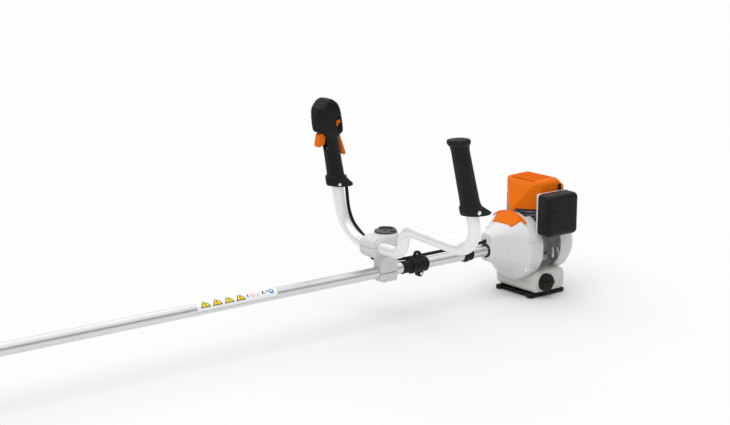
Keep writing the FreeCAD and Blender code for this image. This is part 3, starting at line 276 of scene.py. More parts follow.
def rod(radius, start, end, sides=48):
    """A round bar between two points given in millimetres."""
    start, end = Vector(start), Vector(end)
    along = (end - start).normalized()
    backward = along.orthogonal().normalized()
    profile = [(radius, 0), (radius, (end - start).length)]
    return lathe(profile, local_frame(start, along, backward), sides)


def block(low, high, place=at):
    """A rectangular raw shape between two opposite corners."""
    x0, y0, z0 = low
    x1, y1, z1 = high
    return skin([[place(x0, y0, z), place(x1, y0, z), place(x1, y1, z), place(x0, y1, z)]
                 for z in (z0, z1)])


def prism(outline, y_low, y_high, place):
    """A side outline of (x, z) pairs extended across a local frame."""
    return skin([[place(x, y, z) for x, z in outline] for y in (y_low, y_high)])


DIRECTIONS = (0, 45, 75, 90, 140, 180)


def facet_radius(angle, distances, sharpness):
    """Radius of a rounded polygon whose sides lie at the distances from its centre."""
    total = 0.0
    for direction, distance in zip(DIRECTIONS, distances):
        for side in ((1,) if direction in (0, 180) else (1, -1)):
            reach = math.cos(angle - side * math.radians(direction)) / distance
            total += max(0.0, reach) ** sharpness
    return total ** (-1 / sharpness)


def faceted(stations, place, sides=96):
    """A loft up a local frame; a station is its height, six side distances and a sharpness."""
    angles = [2 * math.pi * i / sides for i in range(sides)]
    rings = []
    for height, *distances, sharpness in stations:
        radii = [facet_radius(a, distances, sharpness) for a in angles]
        rings.append([place(r * math.cos(a), r * math.sin(a), height) for r, a in zip(radii, angles)])
    return skin(rings)


def round_station(height, radius):
    """A station of nearly circular section."""
    return (height, *(radius,) * 6, 12)


def even_stations(stations, step):
    """Add stations in between, so that a loft bends smoothly."""
    dense = []
    for low, high in zip(stations, stations[1:]):
        count = max(1, round((high[0] - low[0]) / step))
        dense += [[a + (b - a) * i / count for a, b in zip(low, high)] for i in range(count)]
    return dense + [list(stations[-1])]


def rounded_path(points, radii, step=5.0):
    """A polyline with inner corners rounded to the radii and straights cut into short steps."""
    points = [Vector(p) for p in points]
    corners = [points[0]]
    for before, corner, after, radius in zip(points, points[1:], points[2:], radii):
        back, on = (before - corner).normalized(), (after - corner).normalized()
        turn = math.pi - back.angle(on)
        if turn < 1e-4:
            continue
        cut = radius * math.tan(turn / 2)
        centre = corner + (back + on).normalized() * (radius / math.cos(turn / 2))
        start, end = ((corner + way * cut - centre).normalized() for way in (back, on))
        count = max(4, int(turn * radius / step) + 1)
        corners += [centre + start.slerp(end, i / count) * radius for i in range(count + 1)]
    corners.append(points[-1])
    path = [corners[0]]
    for low, high in zip(corners, corners[1:]):
        count = max(1, round((high - low).length / step))
        path += [low.lerp(high, i / count) for i in range(1, count + 1)]
    return path


def sweep(path, radius, sides=40):
    """A round raw shape along a path in millimetres; radius may be a list, one for each point."""
    radii = radius if isinstance(radius, list) else [radius] * len(path)
    across = (path[1] - path[0]).orthogonal().normalized()
    rings = []
    for i, point in enumerate(path):
        along = (path[min(i + 1, len(path) - 1)] - path[max(i - 1, 0)]).normalized()
        across = (across - along * across.dot(along)).normalized()
        other = along.cross(across)
        angles = [2 * math.pi * k / sides for k in range(sides)]
        rings.append([ORIGIN + (point + (across * math.cos(a) + other * math.sin(a)) * radii[i]) * MM
                      for a in angles])
    return skin(rings)


def raw_object(name, shape):
    """A scene object made from a raw shape, with its faces turned outwards."""
    mesh = bpy.data.meshes.new(name)
    mesh.from_pydata(shape[0], [], shape[1])
    work = bmesh.new()
    work.from_mesh(mesh)
    bmesh.ops.recalc_face_normals(work, faces=work.faces)
    work.to_mesh(mesh)
    work.free()
    made = bpy.data.objects.new(name, mesh)
    scene.collection.objects.link(made)
    return made


def bake(thing, smooth_angle):
    """Apply the modifiers and shade smoothly up to an angle in degrees."""
    bpy.context.view_layer.update()
    mesh = bpy.data.meshes.new_from_object(thing.evaluated_get(bpy.context.evaluated_depsgraph_get()))
    thing.modifiers.clear()
    thing.data = mesh
    mesh.polygons.foreach_set("use_smooth", [True] * len(mesh.polygons))
    mesh.set_sharp_from_angle(angle=math.radians(smooth_angle))
    return thing


def piece(name, shape, body, material, stands_for=(), add=(), cut=(), bevel=0.0, voxel=0.0,
          smooth=3, keep=1.0, smooth_angle=32):
    """Build one shown piece: join and cut raw shapes, soften its edges, put it on its body."""
    made = raw_object(name, shape)
    tools = []
    for operation, shapes in (("UNION", add), ("DIFFERENCE", cut)):
        for tool_shape in shapes:
            tool = raw_object("tool", tool_shape)
            tools.append(tool)
            boolean = made.modifiers.new("boolean", "BOOLEAN")
            boolean.operation, boolean.solver, boolean.object = operation, "EXACT", tool
    if voxel:
        remesh = made.modifiers.new("remesh", "REMESH")
        remesh.mode, remesh.voxel_size = "VOXEL", voxel * MM
        relax = made.modifiers.new("relax", "SMOOTH")
        relax.factor, relax.iterations = 0.5, smooth
        if keep < 1:
            thin = made.modifiers.new("thin", "DECIMATE")
            thin.ratio = keep
    if bevel:
        edge = made.modifiers.new("edge", "BEVEL")
        edge.width, edge.segments = bevel * MM, 3
        edge.limit_method, edge.angle_limit = "ANGLE", math.radians(28)
        edge.use_clamp_overlap = True
    bake(made, 60 if voxel else smooth_angle)
    for tool in tools:
        bpy.data.objects.remove(tool)
    made.data.materials.clear()
    made.data.materials.append(material)
    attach(made, body)
    if stands_for:
        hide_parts(*stands_for)
    return made


# --- handlebar and its grips ------------------------------------------------------------------
LEAN = math.radians(11.6)
BAR_PIVOT = Vector((-33, 0, 62))
bar_up = Vector((-math.sin(LEAN), 0, math.cos(LEAN)))
backward = Vector((math.cos(LEAN), 0, math.sin(LEAN)))


def on_bar_plane(side, rise):
    """A point of the leaning handlebar plane, in millimetres."""
    return BAR_PIVOT + Y * side + bar_up * rise


near_top, near_corner = on_bar_plane(-341, 290), on_bar_plane(-354, 50)
far_top, far_corner = on_bar_plane(95, 215), on_bar_plane(103.5, 0)
near_axis, far_axis = (near_top - near_corner).normalized(), (far_top - far_corner).normalized()
bar_path = rounded_path([near_top, near_corner, on_bar_plane(-125, 64), on_bar_plane(-95, 0),
                         far_corner, far_top], (65, 45, 33, 72), 4)
piece("handlebar_tube", sweep(bar_path, BAR_RADIUS, 56), "bar", BRIGHT_BAR, ["handlebar"])

# Both grips sit on the ends of the bar; their stations count from the foot of their collars.
COLLAR_FALL = 0.3
GRIP_DEPTH, HANDLE_DEPTH = 151, 90
grip_place = local_frame(near_top - near_axis * GRIP_DEPTH, near_axis, backward)
GRIP = [
    (-1, 32, 31, 20.5, 20.5, 20.5, 21, 12), (0.5, 39, 38, 22.4, 22.4, 22.6, 22.8, 12),
    (4, 43.5, 42, 23, 23, 23.4, 23.6, 12), (7, 43, 41, 23, 23, 23.4, 23.6, 12),
    (10, 38, 36, 23, 23, 23.4, 23.6, 12), (13, 33, 31, 23, 23, 23.3, 23.4, 12),
    (16.5, 28, 27, 22.6, 22.6, 22.8, 22.8, 12), (18.5, 24.8, 24, 20.8, 20.8, 20.8, 20.8, 12),
    (22, 22, 21.8, 20, 20, 20, 20, 12), (30, 20, 20, 19.5, 19.5, 19.5, 19.5, 12),
    *(round_station(height, radius) for height, radius in (
        (60, 19.3), (132.5, 18.2), (143, 19.4), (147, 22.6), (149.5, 23.4), (153.5, 23.4),
        (156.4, 21.8), (158, 16.5), (158.6, 7)))]
screw_out = (grip_place(0, 0, 9) - ORIGIN) / MM
piece("grip_rubber", faceted(GRIP, sheared(grip_place, COLLAR_FALL, 0.19)), "bar", RUBBER, ["left_grip"],
      cut=[lathe([(BAR_RADIUS, -12), (BAR_RADIUS, GRIP_DEPTH)], grip_place),
           rod(5, screw_out - Y * 40, screw_out - Y * 21.2)],
      voxel=0.8, smooth=4, keep=0.6)

handle_place = local_frame(far_top - far_axis * HANDLE_DEPTH, far_axis, backward)
HANDLE = [
    (-1.4, 33, 32, 21, 21, 21.4, 25, 12), (-0.2, 36, 35, 22, 22, 22.6, 26.4, 12),
    (3, 38, 37, 22, 22, 23, 27.4, 12), (6, 36.6, 35.4, 22, 22, 23, 27.4, 12),
    (12, 30.4, 29.4, 22, 22, 23, 27.2, 12), (18.6, 24.6, 24, 22, 22, 23, 26.8, 12),
    (20.4, 22.4, 22, 20.4, 20.4, 20.6, 21.4, 12), (23, 20.6, 20.4, 19.4, 19.4, 19.2, 19.2, 12),
    (30, 19, 19, 18.8, 18.8, 18.8, 18.8, 12),
    round_station(60, 18.2), round_station(106, 18.2), (113, 18.8, 19, 19.2, 18.8, 19, 19, 16),
    (118, 19.6, 21.5, 21.2, 20.2, 21.4, 22, 26), (121.5, 20.6, 24, 23, 21.4, 25.4, 29, 44),
    (124.5, 21.8, 27, 25.4, 22.6, 29, 36.4, 70), (127.5, 23.2, 29.4, 27, 23.6, 31.4, 39.6, 80),
    (132, 24.4, 31.4, 28.2, 24.4, 32.2, 40, 80), (146, 25.4, 32.4, 28.6, 24.6, 32.6, 38, 80),
    (158, 25.4, 32.6, 28.8, 24.6, 32, 35, 80), (170, 25, 32, 28.4, 24.4, 30.8, 31, 80),
    (178, 24.6, 31.4, 28, 24.2, 28.6, 26.4, 80), (186, 23.8, 29.6, 26.8, 23.2, 24, 18, 80),
    (193, 21.4, 26, 24, 21, 18.5, 11, 70), (198, 16.8, 20, 19, 17, 12.4, 6, 60),
    (200.4, 12, 14.4, 14, 12.8, 8, 3, 50)]
handle_screw_out = (handle_place(-8, 0, 7) - ORIGIN) / MM
# Rooms inside the handle: the bar, the trigger, the lockout lever, the cable's turn, the slide
# switch, the cable's mouth and the screw.
handle_cuts = [
    lathe([(BAR_RADIUS, -12), (BAR_RADIUS, HANDLE_DEPTH)], handle_place),
    prism([(-40, 88.5), (-14, 88.5), (-4, 94), (-4, 132), (-7, 146), (-24, 146), (-25, 129.5),
           (-40, 129.5)], -8.4, 8.4, handle_place),
    prism([(13, 60), (36, 60), (36, 118), (24, 146), (7, 146), (7, 122), (13, 114)],
          -5.8, 5.8, handle_place),
    prism([(1, 146), (3.5, 153), (10, 158.5), (34, 161), (34, 121), (14, 121), (5, 131)],
          -30, -19.6, handle_place),
    block((7.5, -26, 127), (18.5, -17.6, 157), handle_place),
    lathe([(4.4, -18), (4.4, 0), (3.8, 0.5), (3.8, 26)],
          lambda x, y, z: handle_place(24.5 + x, y, z), 24),
    rod(4.8, handle_screw_out - Y * 40, handle_screw_out - Y * 19.8)]
whole_handle = faceted(even_stations(HANDLE, 4), sheared(handle_place, COLLAR_FALL), 144)
SEAM = 0.12
for name, stands_for, low, high in (("handle_shell_near", "control_handle_inner_half", -SEAM, 60),
                                    ("handle_shell_far", "control_handle_outer_half", -60, SEAM)):
    other_side = block((-100, low, -20), (100, high, 300), handle_place)
    piece(name, whole_handle, "bar", BLACK, [stands_for], cut=[*handle_cuts, other_side],
          voxel=0.6, smooth=3, keep=0.45)

TRIGGER = [(-17, 140), (-11, 140), (-9.5, 128), (-14.5, 119), (-18.4, 112), (-19.3, 107), (-20.6, 103.8),
           (-26, 101.6), (-33, 100.4), (-38.6, 101), (-37.6, 107), (-35, 114), (-32.6, 120),
           (-30, 127), (-21, 130)]
piece("trigger_lever", prism(TRIGGER, -8, 8, handle_place), "trigger", ORANGE, ["throttle_trigger"],
      bevel=1.1)
LOCKOUT = [(12, 139), (18, 139), (22.4, 122), (26.2, 100), (29.8, 82), (32.4, 67), (31.4, 63.4),
           (28, 62.4), (24.4, 65), (22.4, 71), (20.4, 95), (19, 114), (11, 128)]
piece("lockout_lever", prism(LOCKOUT, -5, 5, handle_place), "lockout", ORANGE, ["trigger_lockout"],
      bevel=0.9)
SLIDE = [(7.8, 138), (10.8, 138), (12, 143), (18.2, 144), (18.2, 150), (7.8, 150)]
slide_ribs = [block((9.6, -24.8, z), (16.6, -20, z + 1.3), handle_place) for z in (144.4, 146.4, 148.2)]
piece("stop_slide_cap", prism(SLIDE, -22, -18.4, handle_place), "slide_switch", ORANGE, ["stop_slide"],
      add=[block((9.2, -23.9, 144), (17, -20, 149.6), handle_place), *slide_ribs], bevel=0.3)

# --- handle column, support shells and clamp screw --------------------------------------------
BORE_CLEARANCE = 0.05
tube_room = rod(TUBE_RADIUS + BORE_CLEARANCE, (-60, 0, 0), (60, 0, 0), 64)
bar_room = rod(BAR_RADIUS + BORE_CLEARANCE, BAR_PIVOT - Y * 60, BAR_PIVOT + Y * 60, 64)
screw_room = rod(4.3, (0, 0, -10), (0, 0, 120))


def plan(front, side, rear, corner_front, corner_rear, sharpness, height):
    """A station of a block: distances to its front, side and rear, and to its corners."""
    return (height, rear, corner_rear, 200, side, corner_front, front, sharpness)


COLUMN = [plan(23.5, 18.5, 23.5, 26.5, 26.4, 22, 0.8), plan(23.2, 18.2, 23.2, 26.2, 26.1, 22, 14),
          plan(23.2, 18.2, 23.2, 26.2, 26.1, 22, 26), plan(24.5, 21, 24.5, 27, 27, 16, 33),
          plan(25.8, 25.8, 25.8, 26.2, 26.2, 10, 37), plan(25.5, 25.5, 25.5, 26, 26, 10, 40)]
LOWER_CLAMP = [plan(19.5, 14.8, 19.5, 22.2, 22.2, 14, -20.5), plan(22, 17.2, 22, 24.4, 24.4, 16, -18.8),
               plan(23.4, 18.5, 23.4, 25.6, 25.6, 18, -15), plan(23.5, 18.5, 23.5, 26, 26, 20, -0.8)]
column_screws = [(x, y) for x in (-15.5, 15.5) for y in (-15.3, 15.3)]
column_screw_rooms = [rod(2.2, (x, y, -30), (x, y, 12)) for x, y in column_screws]
screw_head_rooms = [rod(3.6, (x, y, -30), (x, y, -17.1)) for x, y in column_screws]
tube_collar = rod(15.7, (-24.3, 0, 0), (24.3, 0, 0), 64)
piece("column_casting", faceted(even_stations(COLUMN, 3), at), "drive_unit", CLAMP_GREY,
      ["handle_column"], add=[tube_collar],
      cut=[tube_room, rod(8.6, (0, 0, 31), (0, 0, 60)), block((-40, -40, -30), (40, 40, 0.8)),
           *column_screw_rooms], voxel=0.6, smooth=5, keep=0.5)
piece("lower_clamp_casting", faceted(even_stations(LOWER_CLAMP, 3), at), "drive_unit", CLAMP_GREY,
      ["column_lower_clamp"], add=[tube_collar],
      cut=[tube_room, block((-40, -40, -0.8), (40, 40, 30)), *column_screw_rooms,
           *screw_head_rooms], voxel=0.6, smooth=5, keep=0.5)


def lobe_place(x, y, z):
    """Local frame of the support shells' rear lobe, 28 mm ahead of the column's axis."""
    return at(-28 + x, y, z)


# The two support shells leave a narrow gap between the base's top and the cap's foot.
BASE_TOP, CAP_FOOT = 63.25, 63.75
UPPER_LOBE = [plan(31, 25.6, 28, 36, 34, 14, CAP_FOOT), plan(30.8, 25.6, 28, 35.8, 34, 14, 69),
              plan(30, 25.2, 28, 34.6, 33.6, 14, 74), plan(28, 24.6, 28, 32.4, 33, 13, 78.5),
              plan(23.5, 23, 28, 28, 32, 12, 82), plan(15, 19.5, 28, 20, 30, 11, 85),
              plan(5, 14, 27, 9.5, 27, 10, 86.8)]
LOWER_LOBE = [plan(21, 17, 28, 25, 30, 12, 40.3), plan(26, 21.6, 28, 31, 32, 12, 43.5),
              plan(29.4, 24.4, 28, 34.4, 33.6, 13, 49), plan(31, 25.6, 28, 36, 34, 14, 55),
              plan(31, 25.6, 28, 36, 34, 14, BASE_TOP)]
socket = rod(16.4, BAR_PIVOT - Y * 28.2, BAR_PIVOT + Y * 28.2, 64)
piece("support_cap", faceted(even_stations(UPPER_LOBE, 2), lobe_place), "bar_support", CLAMP_GREY,
      ["support_upper_shell"],
      add=[lathe([(29.5, CAP_FOOT), (29.5, 79), (28.9, 83), (27.4, 86.2), (25.6, 88)], at), socket],
      cut=[bar_room, screw_room, block((-90, -60, 30), (60, 60, CAP_FOOT))],
      voxel=0.6, smooth=6, keep=0.5)
piece("support_base", faceted(even_stations(LOWER_LOBE, 2), lobe_place), "bar_support", CLAMP_GREY,
      ["support_lower_shell"],
      add=[lathe([(27, 40.3), (28.8, 42), (29.5, 45), (29.5, BASE_TOP)], at), socket],
      cut=[bar_room, screw_room, block((-90, -60, BASE_TOP), (60, 60, 99))],
      voxel=0.6, smooth=6, keep=0.5)

DISC = [(0.01, 88.3), (24.2, 88.3), (25, 89), (25, 91.6), (24.2, 92.5), (22.8, 92.5), (22.3, 91.7),
        (16.6, 91.7), (16.1, 92.3), (9.4, 92.3), (8.9, 91.5), (0.01, 91.5)]
NOTCH_CIRCLE = 26.3
notch_axes = [(NOTCH_CIRCLE * math.cos(a), NOTCH_CIRCLE * math.sin(a))
              for a in (math.pi * k / 12 for k in range(24))]
thumb_notches = [rod(2.2, (x, y, 80), (x, y, 99), 16) for x, y in notch_axes]
hub_slots = [block((-7, -1.2, 91), (7, 1.2, 96)), block((-1.2, -7, 91), (1.2, 7, 96))]
piece("knob_disc", lathe(DISC, at, 96), "clamp_knob", KNOB_DARK,
      ["clamp_screw"], add=[lathe([(4.3, 88.6), (4.3, 92.4)], at, 32)],
      cut=[*thumb_notches, *hub_slots], bevel=0.25)
piece("knob_shank", rod(4, (0, 0, 14.3), (0, 0, 88.6)), "clamp_knob", STEEL, bevel=0.4)

BOW_SECTION = [(17.3, 92.8), (21.7, 92.8), (22, 93.3), (22, 95.6), (21.3, 96.3), (17.7, 96.3),
               (17, 95.6), (17, 93.3)]


def bow_ring():
    """Half a flat ring with rounded edges, open to the front."""
    rings = []
    for k in range(25):
        a = -math.pi / 2 + math.pi * k / 24
        rings.append([at(r * math.cos(a), r * math.sin(a), z) for r, z in BOW_SECTION])
    return skin(rings)


piece("knob_bow", bow_ring(), "clamp_bow", KNOB_DARK, ["clamp_screw_bow"],
      add=[rod(1.75, (0, y, 94.55), (0, y + 5, 94.55), 24) for y in (-22, 17)], bevel=0.3)

# --- throttle cable ---------------------------------------------------------------------------
handle_tail = [(handle_place(24.5, 0, z) - ORIGIN) / MM for z in (14, -14)]
CABLE_RADIUS = 3.75
cable_points = [*handle_tail, (-29, 99, 146), (-26, 97, 121), (-22, 88, 97), (-17, 70, 79),
                (-15, 48, 66), (-17, 36.5, 50), (-17, 33, 30), (-8, 29.5, 21), (14, 27, 19),
                (34, 19, 17.2),
                (58, 8.8, 16.5), (100, 8.8, 16.5), (150, 9.1, 16.5), (200, 8.8, 16.6), (250, 8.8, 16.5),
                (282, 7, 17.6), (300, 3, 21.4), (326, -1, 30)]
cable_path = rounded_path(cable_points, (432, 158, 80, 53, 87, 40, 38, 15, 16, 73, 322, 58, 6300, 3699,
                                         6240, 216, 112, 180), 2.5)
# The two shown lengths meet beside the support shells.
split = min(range(len(cable_path)), key=lambda i: (cable_path[i] - Vector((-15, 53, 69))).length)


def cable_piece(name, path, stands_for):
    """A length of cable swept along a path and fixed in place, from one point to the other."""
    made = raw_object(name, sweep(path, CABLE_RADIUS, 24))
    bake(made, 50)
    made.data.materials.append(CABLE_SKIN)
    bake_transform(made)
    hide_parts(*stands_for)


cable_piece("cable_to_handle", cable_path[:split + 1], ["throttle_cable_upper", "throttle_cable_middle"])
cable_piece("cable_to_engine", cable_path[split:], ["throttle_cable_lower"])

# --- drive tube and its label -----------------------------------------------------------------
def tube_point(x, arc, radius):
    """A point on the tube's skin: x along it, arc in millimetres over the top from the near side."""
    angle = arc / TUBE_RADIUS
    return at(x, -radius * math.cos(angle), radius * math.sin(angle))


def sticker(name, x_low, x_high, arc_low, arc_high, corner, radius, material):
    """A rounded rectangle laid on the tube."""
    rows, columns = 28, 4
    points = []
    for row in range(rows + 1):
        arc = arc_low + (arc_high - arc_low) * row / rows
        near = min(arc - arc_low, arc_high - arc)
        inset = 0
        if near < corner:
            inset = corner - math.sqrt(max(0, corner ** 2 - (corner - near) ** 2))
        for column in range(columns + 1):
            x = x_low + inset + (x_high - x_low - 2 * inset) * column / columns
            points.append(tube_point(x, arc, radius))
    wide = columns + 1
    faces = [(r * wide + c, r * wide + c + 1, (r + 1) * wide + c + 1, (r + 1) * wide + c)
             for r in range(rows) for c in range(columns)]
    piece(name, (points, faces), "drive_unit", material)


def icon(name, x, arc, outline, radius, material):
    """A small flat sign on the tube, from an outline of (x, arc) offsets."""
    edge = []
    for (x0, a0), (x1, a1) in zip(outline, outline[1:] + outline[:1]):
        count = max(3, round(math.hypot(x1 - x0, a1 - a0) / 1.2))
        edge += [(x0 + (x1 - x0) * k / count, a0 + (a1 - a0) * k / count) for k in range(count)]
    rings = [[tube_point(x + u * scale, arc + v * scale, radius) for u, v in edge]
             for scale in (1, 0.9, 0.8, 0.7, 0.6, 0.5, 0.4, 0.3, 0.2, 0.1, 0.01)]
    points, faces = skin(rings)
    del faces[-2]
    piece(name, (points, faces), "drive_unit", material)


def disc_outline(size):
    """Sixteen corners of a round sign."""
    return [(size * math.cos(a), size * math.sin(a)) for a in (2 * math.pi * k / 16 for k in range(16))]


sticker("tube_label_edge", -489.5, -293.5, -2.8, 33.6, 5, TUBE_RADIUS + 0.05, INK_BLACK)
sticker("tube_label", -489, -294, -2.2, 33, 4.6, TUBE_RADIUS + 0.08, LABEL_WHITE)
# Three printed layers lie over the label, a few hundredths of a millimetre apart.
INK, FIELD, MARK = TUBE_RADIUS + 0.11, TUBE_RADIUS + 0.14, TUBE_RADIUS + 0.17
triangle = [(-11.8, -6.6), (11.8, -6.6), (0.6, 13), (-0.6, 13)]
small_triangle = [(u * 0.74, v * 0.74) for u, v in triangle]
warning_stroke = [(-1, -1.2), (1, -1.2), (1.4, 5), (-1.4, 5)]
for number, x in enumerate((-468, -440, -412, -384)):
    icon(f"label_warning_{number}", x, 11.2, triangle, INK, INK_BLACK)
    icon(f"label_warning_{number}_field", x, 11.2, small_triangle, FIELD, INK_YELLOW)
    icon(f"label_warning_{number}_mark", x, 11.6, warning_stroke, MARK, INK_BLACK)
    icon(f"label_warning_{number}_dot", x, 8.6, disc_outline(1.1), MARK, INK_BLACK)
icon("label_bar", -366, 11.6, [(-1.8, -3.2), (0.8, -3.8), (1.8, 3.4), (-1.4, 3.8)], INK, INK_BLACK)
icon("label_stop", -354, 12, disc_outline(5), INK, INK_RED)
icon("label_stop_field", -354, 12, disc_outline(3.4), FIELD, LABEL_WHITE)
icon("label_slash", -340.5, 11.4, [(-4.2, -4.4), (-3.2, -5), (4.2, 4.6), (3.2, 5.2)], INK, INK_BLACK)
icon("label_roof", -328.5, 11.8,
     [(-4.4, -4.4), (-2.6, -4.4), (0.2, 2.4), (2.6, -4.4), (4.4, -4.4), (1, 5), (-0.6, 5)],
     INK, INK_BLACK)
icon("label_order_side", -318.5, 12.4, [(-2.6, -0.6), (1.6, -2.8), (1.8, 3), (-2, 3.6)], INK, INK_BLACK)
icon("label_order", -308.5, 12.2, disc_outline(6.4), INK, INK_BLUE)
icon("label_order_mark", -308.5, 12.2, [(-3, -1.6), (3, -1.6), (3, 0.4), (0, 2.8), (-3, 0.4)], FIELD,
     LABEL_WHITE)

# --- carrying ring, cable clip and tube entry -------------------------------------------------
def tube_place(x, y, z):
    """Local frame of the drive tube: z runs backwards along it."""
    return at(z, y, x)


SEAT_RADIUS = 12.75
CABLE_LINE = (8.8, 16.5)
cable_room = rod(4.1, (20, *CABLE_LINE), (300, *CABLE_LINE))
SLEEVE = [(SEAT_RADIUS, 43), (14.2, 43), (14.7, 43.6), (14.7, 46.4), (14.1, 47), (14.1, 60),
          (14.7, 60.6), (14.7, 114.4), (14.2, 115), (SEAT_RADIUS, 115)]
piece("ring_sleeve", lathe(SLEEVE, tube_place), "drive_unit", RUBBER, ["carrying_ring_sleeve"],
      cut=[rod(12.72, (30, 0, 0), (130, 0, 0), 64)], bevel=0.2)
BAND = [(14.8, 68), (16.6, 68), (18, 69.4), (18, 73), (17.1, 74), (17.1, 106), (18, 107), (18, 110.6),
        (16.6, 112), (14.8, 112)]
LUG_RADIUS = 9.5
lug_arc = [(90 - LUG_RADIUS * math.cos(a), 22.5 + LUG_RADIUS * math.sin(a))
           for a in (math.pi * k / 20 for k in range(21))]
top_lug = prism([(80.5, 14), *lug_arc, (99.5, 14)], -3.5, 3.5, at)
lug_foot = prism([(74, 15), (76, 19.6), (104, 19.6), (106, 15)], -5, 5, at)
bottom_lug = rod(8, (96, -6, -20), (96, 6, -20))
piece("ring_band", lathe(BAND, tube_place), "drive_unit", BLACK, ["carrying_ring"],
      add=[top_lug, lug_foot, bottom_lug, rod(6.2, (96, -7.4, -20.4), (96, -5.8, -20.4))],
      cut=[rod(14.74, (40, 0, 0), (140, 0, 0), 64), rod(4, (90, -12, 23), (90, 12, 23)), cable_room,
           rod(4.4, (96, -12, -20.5), (96, -6, -20.5)), rod(2.1, (96, -12, -20.5), (96, 7, -20.5))],
      voxel=0.4, smooth=3, keep=0.7)
CLIP = [(SEAT_RADIUS, 223), (14.9, 223), (15.4, 223.6), (15.4, 226.4), (14.7, 227), (14.7, 244),
        (15.4, 244.6), (15.4, 247.4), (14.9, 248), (SEAT_RADIUS, 248)]
piece("clip_band", lathe(CLIP, tube_place), "drive_unit", BLACK, ["cable_clip"],
      add=[rod(5.9, (223, *CABLE_LINE), (248, *CABLE_LINE)),
           prism([(229, -17), (229, -12), (242, -12), (242, -17)], -3, 3, at)],
      cut=[rod(12.72, (200, 0, 0), (290, 0, 0), 64), rod(4.35, (200, 8.8, 16.8), (290, 8.8, 16.8))],
      voxel=0.45, smooth=3, keep=0.5)

# --- softened copies of the remaining hard parts ------------------------------------------------
def softened(name, node, width, material=None, angle=24):
    """The CAD node's own shape with its edges broken and its round faces smooth."""
    source = frame["nodes"][node]
    work = bmesh.new()
    work.from_mesh(source.data)
    bmesh.ops.remove_doubles(work, verts=work.verts, dist=2e-6)
    bmesh.ops.dissolve_limit(work, angle_limit=math.radians(0.6), verts=work.verts, edges=work.edges)
    mesh = bpy.data.meshes.new(name)
    work.to_mesh(mesh)
    work.free()
    made = bpy.data.objects.new(name, mesh)
    scene.collection.objects.link(made)
    edge = made.modifiers.new("edge", "BEVEL")
    edge.width, edge.segments = width * MM, 2
    edge.limit_method, edge.angle_limit = "ANGLE", math.radians(angle)
    edge.use_clamp_overlap = False
    bake(made, 30)
    made.data.materials.clear()
    made.data.materials.append(material or source.data.materials[0])
    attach(made, source["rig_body"])
    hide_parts(node)
    return made


for node, width in (("tube_entry_seal", 0.3), ("engine_shroud", 0.5), ("starter_housing", 0.7),
                    ("engine_top_cover", 0.8), ("air_filter_cover", 0.4),
                    ("air_filter_base", 0.4), ("crankcase", 0.5), ("cylinder", 0.25),
                    ("carburettor", 0.4), ("fuel_tank", 0.4), ("fuel_cap", 0.5), ("tank_stand", 0.4),
                    ("starter_grip", 0.3), ("choke_lever", 0.4), ("blade_guard", 0.5),
                    ("case_screws", 0.25), ("grip_screws", 0.25),
                    ("carrying_ring_screw", 0.25), ("collar_nut", 0.3), ("rider_plate", 0.2)):
    softened(node + "_skin", node, width)

# --- cutting head -------------------------------------------------------------------------------
# The blade's axis leans 30 degrees forward of straight down.
LEVEL, STEEP = math.sqrt(0.75), 0.5
EAR_MIDDLE = -1122
gear_point = Vector((-1180, 0, 0))
out_axis = Vector((-STEEP, 0, -LEVEL))
out_back = Vector((LEVEL, 0, -STEEP))
head_place = local_frame(gear_point, out_axis, out_back)


def on_output(distance, back=0.0, side=0.0):
    """A point in millimetres, given along the blade's axis from the bevel gears."""
    return gear_point + out_axis * distance + out_back * back + Y * side


head_skin = [(12, -18), (14.5, -16.5), (14.8, -14.6), (19, -12.5), (19, 28), (20.6, 30), (20.6, 36)]
ear_rooms = [rod(2.1, (EAR_MIDDLE + x, -20, 22.5), (EAR_MIDDLE + x, 20, 22.5)) for x in (-8, 8)]
ear_seats = [rod(4.2, (EAR_MIDDLE + x, -20, 22.5), (EAR_MIDDLE + x, -6, 22.5)) for x in (-8, 8)]
head_ribs = [block((-1160, -1.4, z), (-1138, 1.4, z + 5)) for z in (15, -20)]
piece("gearbox_casting", rod(17.5, (-1180, 0, 0), (-1108, 0, 0), 64), "drive_unit", CAST,
      ["gearbox_housing"],
      add=[lathe(head_skin, head_place), block((-1135, -6, 8), (-1109, 6, 28)),
           rod(18.9, (-1114, 0, 0), (-1108, 0, 0), 64), rod(18.4, (-1150, 0, 0), (-1146, 0, 0), 64),
           rod(6.2, on_output(4, 0, 12), on_output(4, 0, 23.5)), *head_ribs],
      cut=[rod(15.6, on_output(-13.9), on_output(12), 48), rod(13, on_output(11.9), on_output(42), 48),
           rod(11, (-1173, 0, 0), (-1139, 0, 0), 48), rod(SEAT_RADIUS, (-1140, 0, 0), (-1080, 0, 0), 64),
           block((-1138, -1, 10), (-1098, 1, 40)), *ear_rooms, *ear_seats],
      voxel=0.7, smooth=4, keep=0.6)
piece("grease_plug", rod(4.6, on_output(4, 0, 23), on_output(4, 0, 26.4), 6), "drive_unit", SCREW_STEEL,
      bevel=0.4)


def guard_place(degrees):
    """Local frame of the cutting head, turned about its axis."""
    a = math.radians(degrees)
    turned = out_back * math.cos(a) + out_axis.cross(out_back) * math.sin(a)
    return local_frame(gear_point, out_axis, turned)


GUARD_RIB = [(58, 29.8), (66, 25.4), (132, 25.4), (149, 29.8)]
for number, degrees in enumerate((-48, -30, 30, 48)):
    piece(f"guard_rib_{number}", prism(GUARD_RIB, -1.3, 1.3, guard_place(degrees)), "drive_unit", BLACK,
          bevel=0.5)
softened("cutting_blade_ground", "cutting_blade", 0.45, angle=30)
softened("thrust_plate_turned", "thrust_plate", 0.2)

# --- engine details -----------------------------------------------------------------------------
def engine_round(x, radius, degrees):
    """A point around the engine's axis, the angle counted from the right upwards."""
    a = math.radians(degrees)
    return Vector((x, radius * math.cos(a), radius * math.sin(a)))


